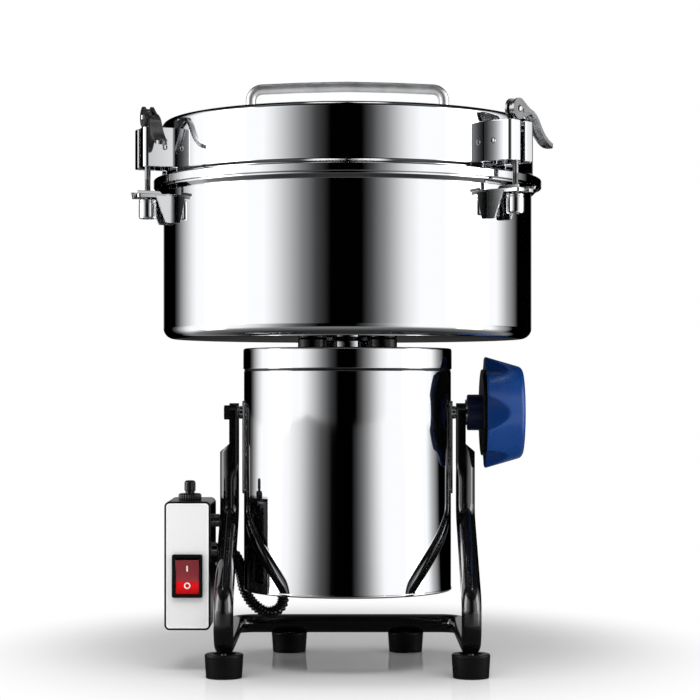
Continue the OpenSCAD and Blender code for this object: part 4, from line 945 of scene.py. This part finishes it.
def pivot():
    head_shape = moved(hexagon(10, 3.7, 0, 0, 0.95, False), shift(-82.4, 0, PIVOT_Z) @ spin(-pi/2, "Y"))
    shank = moved(lathe(rounded([(0, -86), (2.9, -86), (2.9, -62.5, 0.4), (0, -62.5)], 3), 40), AT_PIVOT)
    piece("pivot_bolt", join([head_shape, shank]), "frame_paint", "head", ("left_pivot_bolt",), smooth=28)


def base_screw():
    screw = turned([(0, CASE_Z), (5.5, CASE_Z), (5.5, 51.4, 1.0), (3.2, 50, 1.4), (0, 49.9)], 56, 6, 0.3, False)
    piece("base_screw_head", screw, "bright_steel", "head", ("base_screw",))


bowl()
lid()
handle()
casing()
trunnion_plates()
pivot()
base_screw()

# -------- latches and their brackets

LATCH_ANGLES = {"left": -70, "right": 50, "rear": 170}
ROD_R, ROD_LOW_Z, THREAD_TOP_Z = 2.0, 308.3, 333
ROD_AT = 143.5                  # from the upright axis
PIN_Z = 375.8                   # the cross pin that the cam lever turns on
SHELF_Z, SHELF_TOP_Z, SHELF_OUT = 321, 323.5, 152.5
BRACKET_HALF, BRACKET_OUT, BRACKET_Z, BRACKET_TOP_Z, SHEET = 13.5, 149.5, 341.2, 368, 1.5
IN_X = 124                      # inside the bowl's wall, which is then cut away
AT_ROD = shift(ROD_AT)
AT_PIN = shift(ROD_AT, 0, PIN_Z) @ ALONG_X


def bezier(p, t):
    """The point at t of a curve with four points."""
    share = ((1 - t)**3, 3*(1 - t)**2*t, 3*(1 - t)*t*t, t**3)
    return [sum(s*q[i] for s, q in zip(share, p)) for i in (0, 1)]


def rod_slot(start, low, high):
    """What the slot for the rod takes away, from its round end outward."""
    half, corner, end = 2.7, 2.6, 160
    outline = [(start, -half, corner), (end, -half), (end, half), (start, half, corner)]
    return prism(rounded(outline, 8, True), low, high)


def lid_bracket():
    """A pressed channel with round bends, open below and behind, slotted for the latch rod."""
    clear = BRACKET_HALF - SHEET
    body = prism(rect(120, BRACKET_OUT, -BRACKET_HALF, BRACKET_HALF, 3.4, 12), BRACKET_Z, BRACKET_TOP_Z)
    inside = prism(rect(110, BRACKET_OUT - SHEET, -clear, clear, 2.0, 12), 338, BRACKET_TOP_Z - SHEET)
    return carve(body, [inside, rod_slot(139.5, 335, 375), cylinder(LID_R - 0.4, 330, 390, 160)])


def catch_bracket():
    """Shelf with flared lips and slot, and two gussets welded to the bowl."""
    wall = cylinder(BOWL_R - 0.2, 290, 340, 160)
    shelf = rounded([(IN_X, -9), (SHELF_OUT, -9, 2.0), (SHELF_OUT, 9, 2.0), (IN_X, 9)], 6, True)
    parts = [carve(prism(shelf, SHELF_Z, SHELF_TOP_Z), [wall, rod_slot(140.8, 300, 330)])]
    low = SHELF_TOP_Z - 0.3
    gusset = [(IN_X, 322.5), (140.5, 322.5), (133.6, 304.4), (132.2, 304.0), (IN_X, 304.0)]
    for side in (-1, 1):
        parts.append(carve(moved(prism(gusset, 8.2*side, 9.7*side), TO_FRONT), [wall]))
        lip = [(135.5, side*8.0, low), (SHELF_OUT, side*8.0, low), (SHELF_OUT, side*9.4, low),
               (135.5, side*9.4, low), (137.5, side*8.3, 325.4), (152.9, side*9.0, 325.6),
               (152.9, side*10.2, 325.3), (137.5, side*9.6, 325.2)]
        parts.append((lip, [(0, 1, 2, 3), (4, 5, 6, 7), (0, 1, 5, 4), (1, 2, 6, 5), (2, 3, 7, 6),
                            (3, 0, 4, 7)]))
    return join(parts)


def rivets():
    head = lathe(rounded([(0, 0), (2.0, 0), (1.7, 0.7, 0.6), (0, 1.0)], 5), 28)
    return copies(head, [shift(135.25, side*BRACKET_HALF, 354.5) @ spin(-side*pi/2, "X") for side in (-1, 1)])


def latch_rod():
    """A threaded rod with a round eye."""
    line = [(0, ROD_LOW_Z), (1.6, ROD_LOW_Z), (ROD_R, 308.9)]
    z = 309.2
    while z < THREAD_TOP_Z:
        line += [(ROD_R, z), (1.72, z + 0.25), (ROD_R, z + 0.5)]
        z += 0.7
    line += [(ROD_R, z + 0.2), (ROD_R, PIN_Z - 5.0), (2.6, PIN_Z - 4.2), (2.6, PIN_Z - 2)]
    eye = turned([(2.02, -1.75), (5.5, -1.75, 0.5), (5.5, 1.75, 0.5), (2.02, 1.75)], 56)
    return join([moved(lathe(line, 32), AT_ROD), moved(eye, AT_PIN)])


def latch_pin():
    """The cross pin with its riveted ends, which catch the light in the lever's cheeks."""
    pin = turned([(0, -4.7), (1.3, -4.7, 0.4), (1.99, -4.1, 0.4), (1.99, 4.1, 0.4), (1.3, 4.7, 0.4), (0, 4.7)],
                 40, 5, 0.2, False)
    return moved(pin, AT_PIN)


def latch_nut():
    """The tall round nut under the shelf, with a groove near its top."""
    line = [(2.15, 307.1, 0.2), (5.4, 307.1, 0.9), (6.0, 308.4), (6.0, 317.6, 0.2), (5.7, 317.9, 0.2),
            (5.7, 318.5, 0.2), (6.0, 318.8, 0.2), (6.0, 320.1, 0.7), (2.15, 320.1, 0.3)]
    return moved(turned(line, 72, 5, 0.3), AT_ROD)


def latch_lever(thick=1.25, tip_at=36, tip_r=4):
    """A pressed cam lever: two cheeks on the pin, a bend with two slots, and a rounded tail with a hole."""
    line = [bezier([(4, -1), (11, -0.4), (17, -1), (21, -7)], i/16) for i in range(16)]
    line += [bezier([(21, -7), (25, -13), (30, -20), (40, -21.5)], i/18) for i in range(19)]
    last = len(line) - 1
    upper, lower = [], []
    for i, p in enumerate(line):
        d = (Vector(line[min(i + 1, last)]) - Vector(line[max(i - 1, 0)])).normalized()
        upper.append((p[0] - d.y*thick, p[1] + d.x*thick))
        lower.append((p[0] + d.y*thick, p[1] - d.x*thick))
    arm = moved(prism(upper + lower[::-1], -4, 4), STOOD_UP)
    gap = prism(rect(-2.1, 2.1, -12, 7.7), -12, 12)
    slots = [prism(rect(x, x + 1.5, 12, 17, 0.5), -12, 9) for x in (-2.65, 1.15)]
    hole = moved(cylinder(1.3, -40, 10, 32), shift(0, tip_at))
    arc = [(tip_r*cos(pi*k/20), tip_at + tip_r*sin(pi*k/20)) for k in range(21)]
    tip_cut = prism([(9, tip_at)] + arc + [(-9, tip_at), (-9, 50), (9, 50)], -40, 10)
    # A shallow dish pressed into the tail's underside
    tail = [p for p in line if 18.5 < p[0] < 37]
    beyond = [2*b - a for a, b in zip(tail[-2], tail[-1])]
    under, below = [], []
    for p, q in zip(tail, tail[1:] + [beyond]):
        d = (Vector(q) - Vector(p)).normalized()
        under.append((p[0] + d.y*0.2, p[1] - d.x*0.2))
        below.append((p[0] + d.y*3, p[1] - d.x*3))
    dish = moved(prism(under + below[::-1], -2.9, 2.9), STOOD_UP)
    parts = [carve(arm, [gap, hole, tip_cut, dish] + slots)]
    cheek = [(7*cos(a), 7*sin(a)) for a in (radians(52 + 256*k/40) for k in range(41))]
    cheek += [(7.5, -4.6), (11, -3.0), (15, -2.9), (18.6, -5.2), (19.2, -3.4), (16.5, -0.5), (12, 0.9),
              (7.6, 3.4)]
    for low, high in ((-3.6, -2.1), (2.1, 3.6)):
        bore = moved(cylinder(2.25, -9, 9, 36), ALONG_X)
        parts.append(carve(moved(prism(cheek, low, high), STOOD_UP), [bore]))
    return moved(join(parts), shift(ROD_AT, 0, PIN_Z))


def latches():
    """Brackets and rivets of all three latches as one piece each, and four moving pieces to a latch."""
    # Local X points outward at the latch, local Y along the rim
    spots = {side: spin(radians(angle - 90)) for side, angle in LATCH_ANGLES.items()}
    shapes = lid_bracket(), catch_bracket(), rivets()
    brackets, catches, heads = (copies(shape, spots.values()) for shape in shapes)
    piece("lid_bracket_channels", brackets, "polished_steel", "head", ("lid_brackets",), bevel=0.6, steps=4)
    piece("catch_bracket_shelves", catches, "bright_steel", "head", ("catch_brackets",), bevel=0.28)
    piece("bracket_rivet_heads", heads, "bright_steel", "head", ("bracket_rivets",))
    rod, pin, nut, cam = latch_rod(), latch_pin(), latch_nut(), latch_lever()
    for side, spot in spots.items():
        latch, lever = f"{side}_latch", f"{side}_lever"
        piece(f"{side}_rod_and_eye", rod, "latch_steel", latch, (f"{latch}_rod",), spot)
        piece(f"{side}_cross_pin", pin, "bright_steel", latch, (), spot)
        piece(f"{side}_round_nut", nut, "bright_steel", latch, (f"{latch}_nut",), spot)
        piece(f"{side}_cam_lever", cam, "latch_steel", lever, (f"{latch}_lever",), spot, bevel=0.3)


latches()

# -------- lock knob

HUB_R, HUB_X = 12.5, 83.55
CUP_R, CUP_X, CUP_SLOPE = 39.0, 95.55, 0.2922
SCALLOP_R, SCALLOP_AT = 30.9, 65.3
SCALLOP_BLEND = 0.12


def knob():
    """The blue knob: a cone with six scallops that run out halfway to its rounded front edge."""
    outline = supported(rounded([(3.2, HUB_X), (HUB_R, HUB_X, 0.7), (HUB_R, CUP_X), (CUP_R, CUP_X, 0.9),
                                 (31.3, 121.9, 4.6), (15, 123.1), (0, 123.25)], 9), 0.8)
    fine = [outline[0]]
    for a, b in zip(outline, outline[1:]):
        steps = max(1, ceil(dist(a, b)/1.2)) if a[0] > 20 else 1
        fine += [(a[0] + (b[0] - a[0])*k/steps, a[1] + (b[1] - a[1])*k/steps) for k in range(1, steps + 1)]
    seg, count = 384, len(fine)
    verts, faces = [], []
    for k, a in enumerate(turns(seg)):
        off = (a - pi/2 + pi/6) % (pi/3) - pi/6
        inside = SCALLOP_R**2 - (SCALLOP_AT*sin(off))**2
        limit = SCALLOP_AT*cos(off) - sqrt(inside) if inside > 0 else 99
        for r, x in fine:
            if r > 20:
                d = r - limit
                r = r - (d + sqrt(d*d + SCALLOP_BLEND))/2
            verts.append((r*cos(a), r*sin(a), x))
        near, far = k*count, ((k + 1) % seg)*count
        faces += [(near + i, far + i, far + i + 1, near + i + 1) for i in range(count - 1)]
    cup = piece("lock_knob_cup", (verts, faces), "knob_blue", "lock", ("lock_knob",), AT_PIVOT, smooth=40)
    cup.data.materials.append(KNOB_NAVY_HUB_AND_BACK_SHADE)
    cup.data.materials.append(KNOB_SCALLOP_PAINTED_SHADE)
    # The scallops are a deeper blue, painted shade in their hollows; the hub is navy, and so is the back face,
    # as painted shade for the cup's dark hollow inside
    for face in cup.data.polygons:
        x, y, z = face.center*TO_MM
        r = hypot(y, z - PIVOT_Z)
        if 95.8 < x < 120 and r < CUP_R - CUP_SLOPE*(x - CUP_X) - 0.3:
            face.material_index = 2
        if x < 95.5 and r < 13.5 or x < 95.7 and r > 13:
            face.material_index = 1
    # A black plate behind the cup: painted shade standing in for the dark inside of the cup's hollow back
    disc = turned([(12.6, 93.3), (30, 93.3, 0.5), (30, 95.5, 0.3), (12.6, 95.5)], 96)
    piece("knob_back_shade_plate", disc, "foot_rubber", "lock", ("knob_back_disc",), AT_PIVOT)


knob()
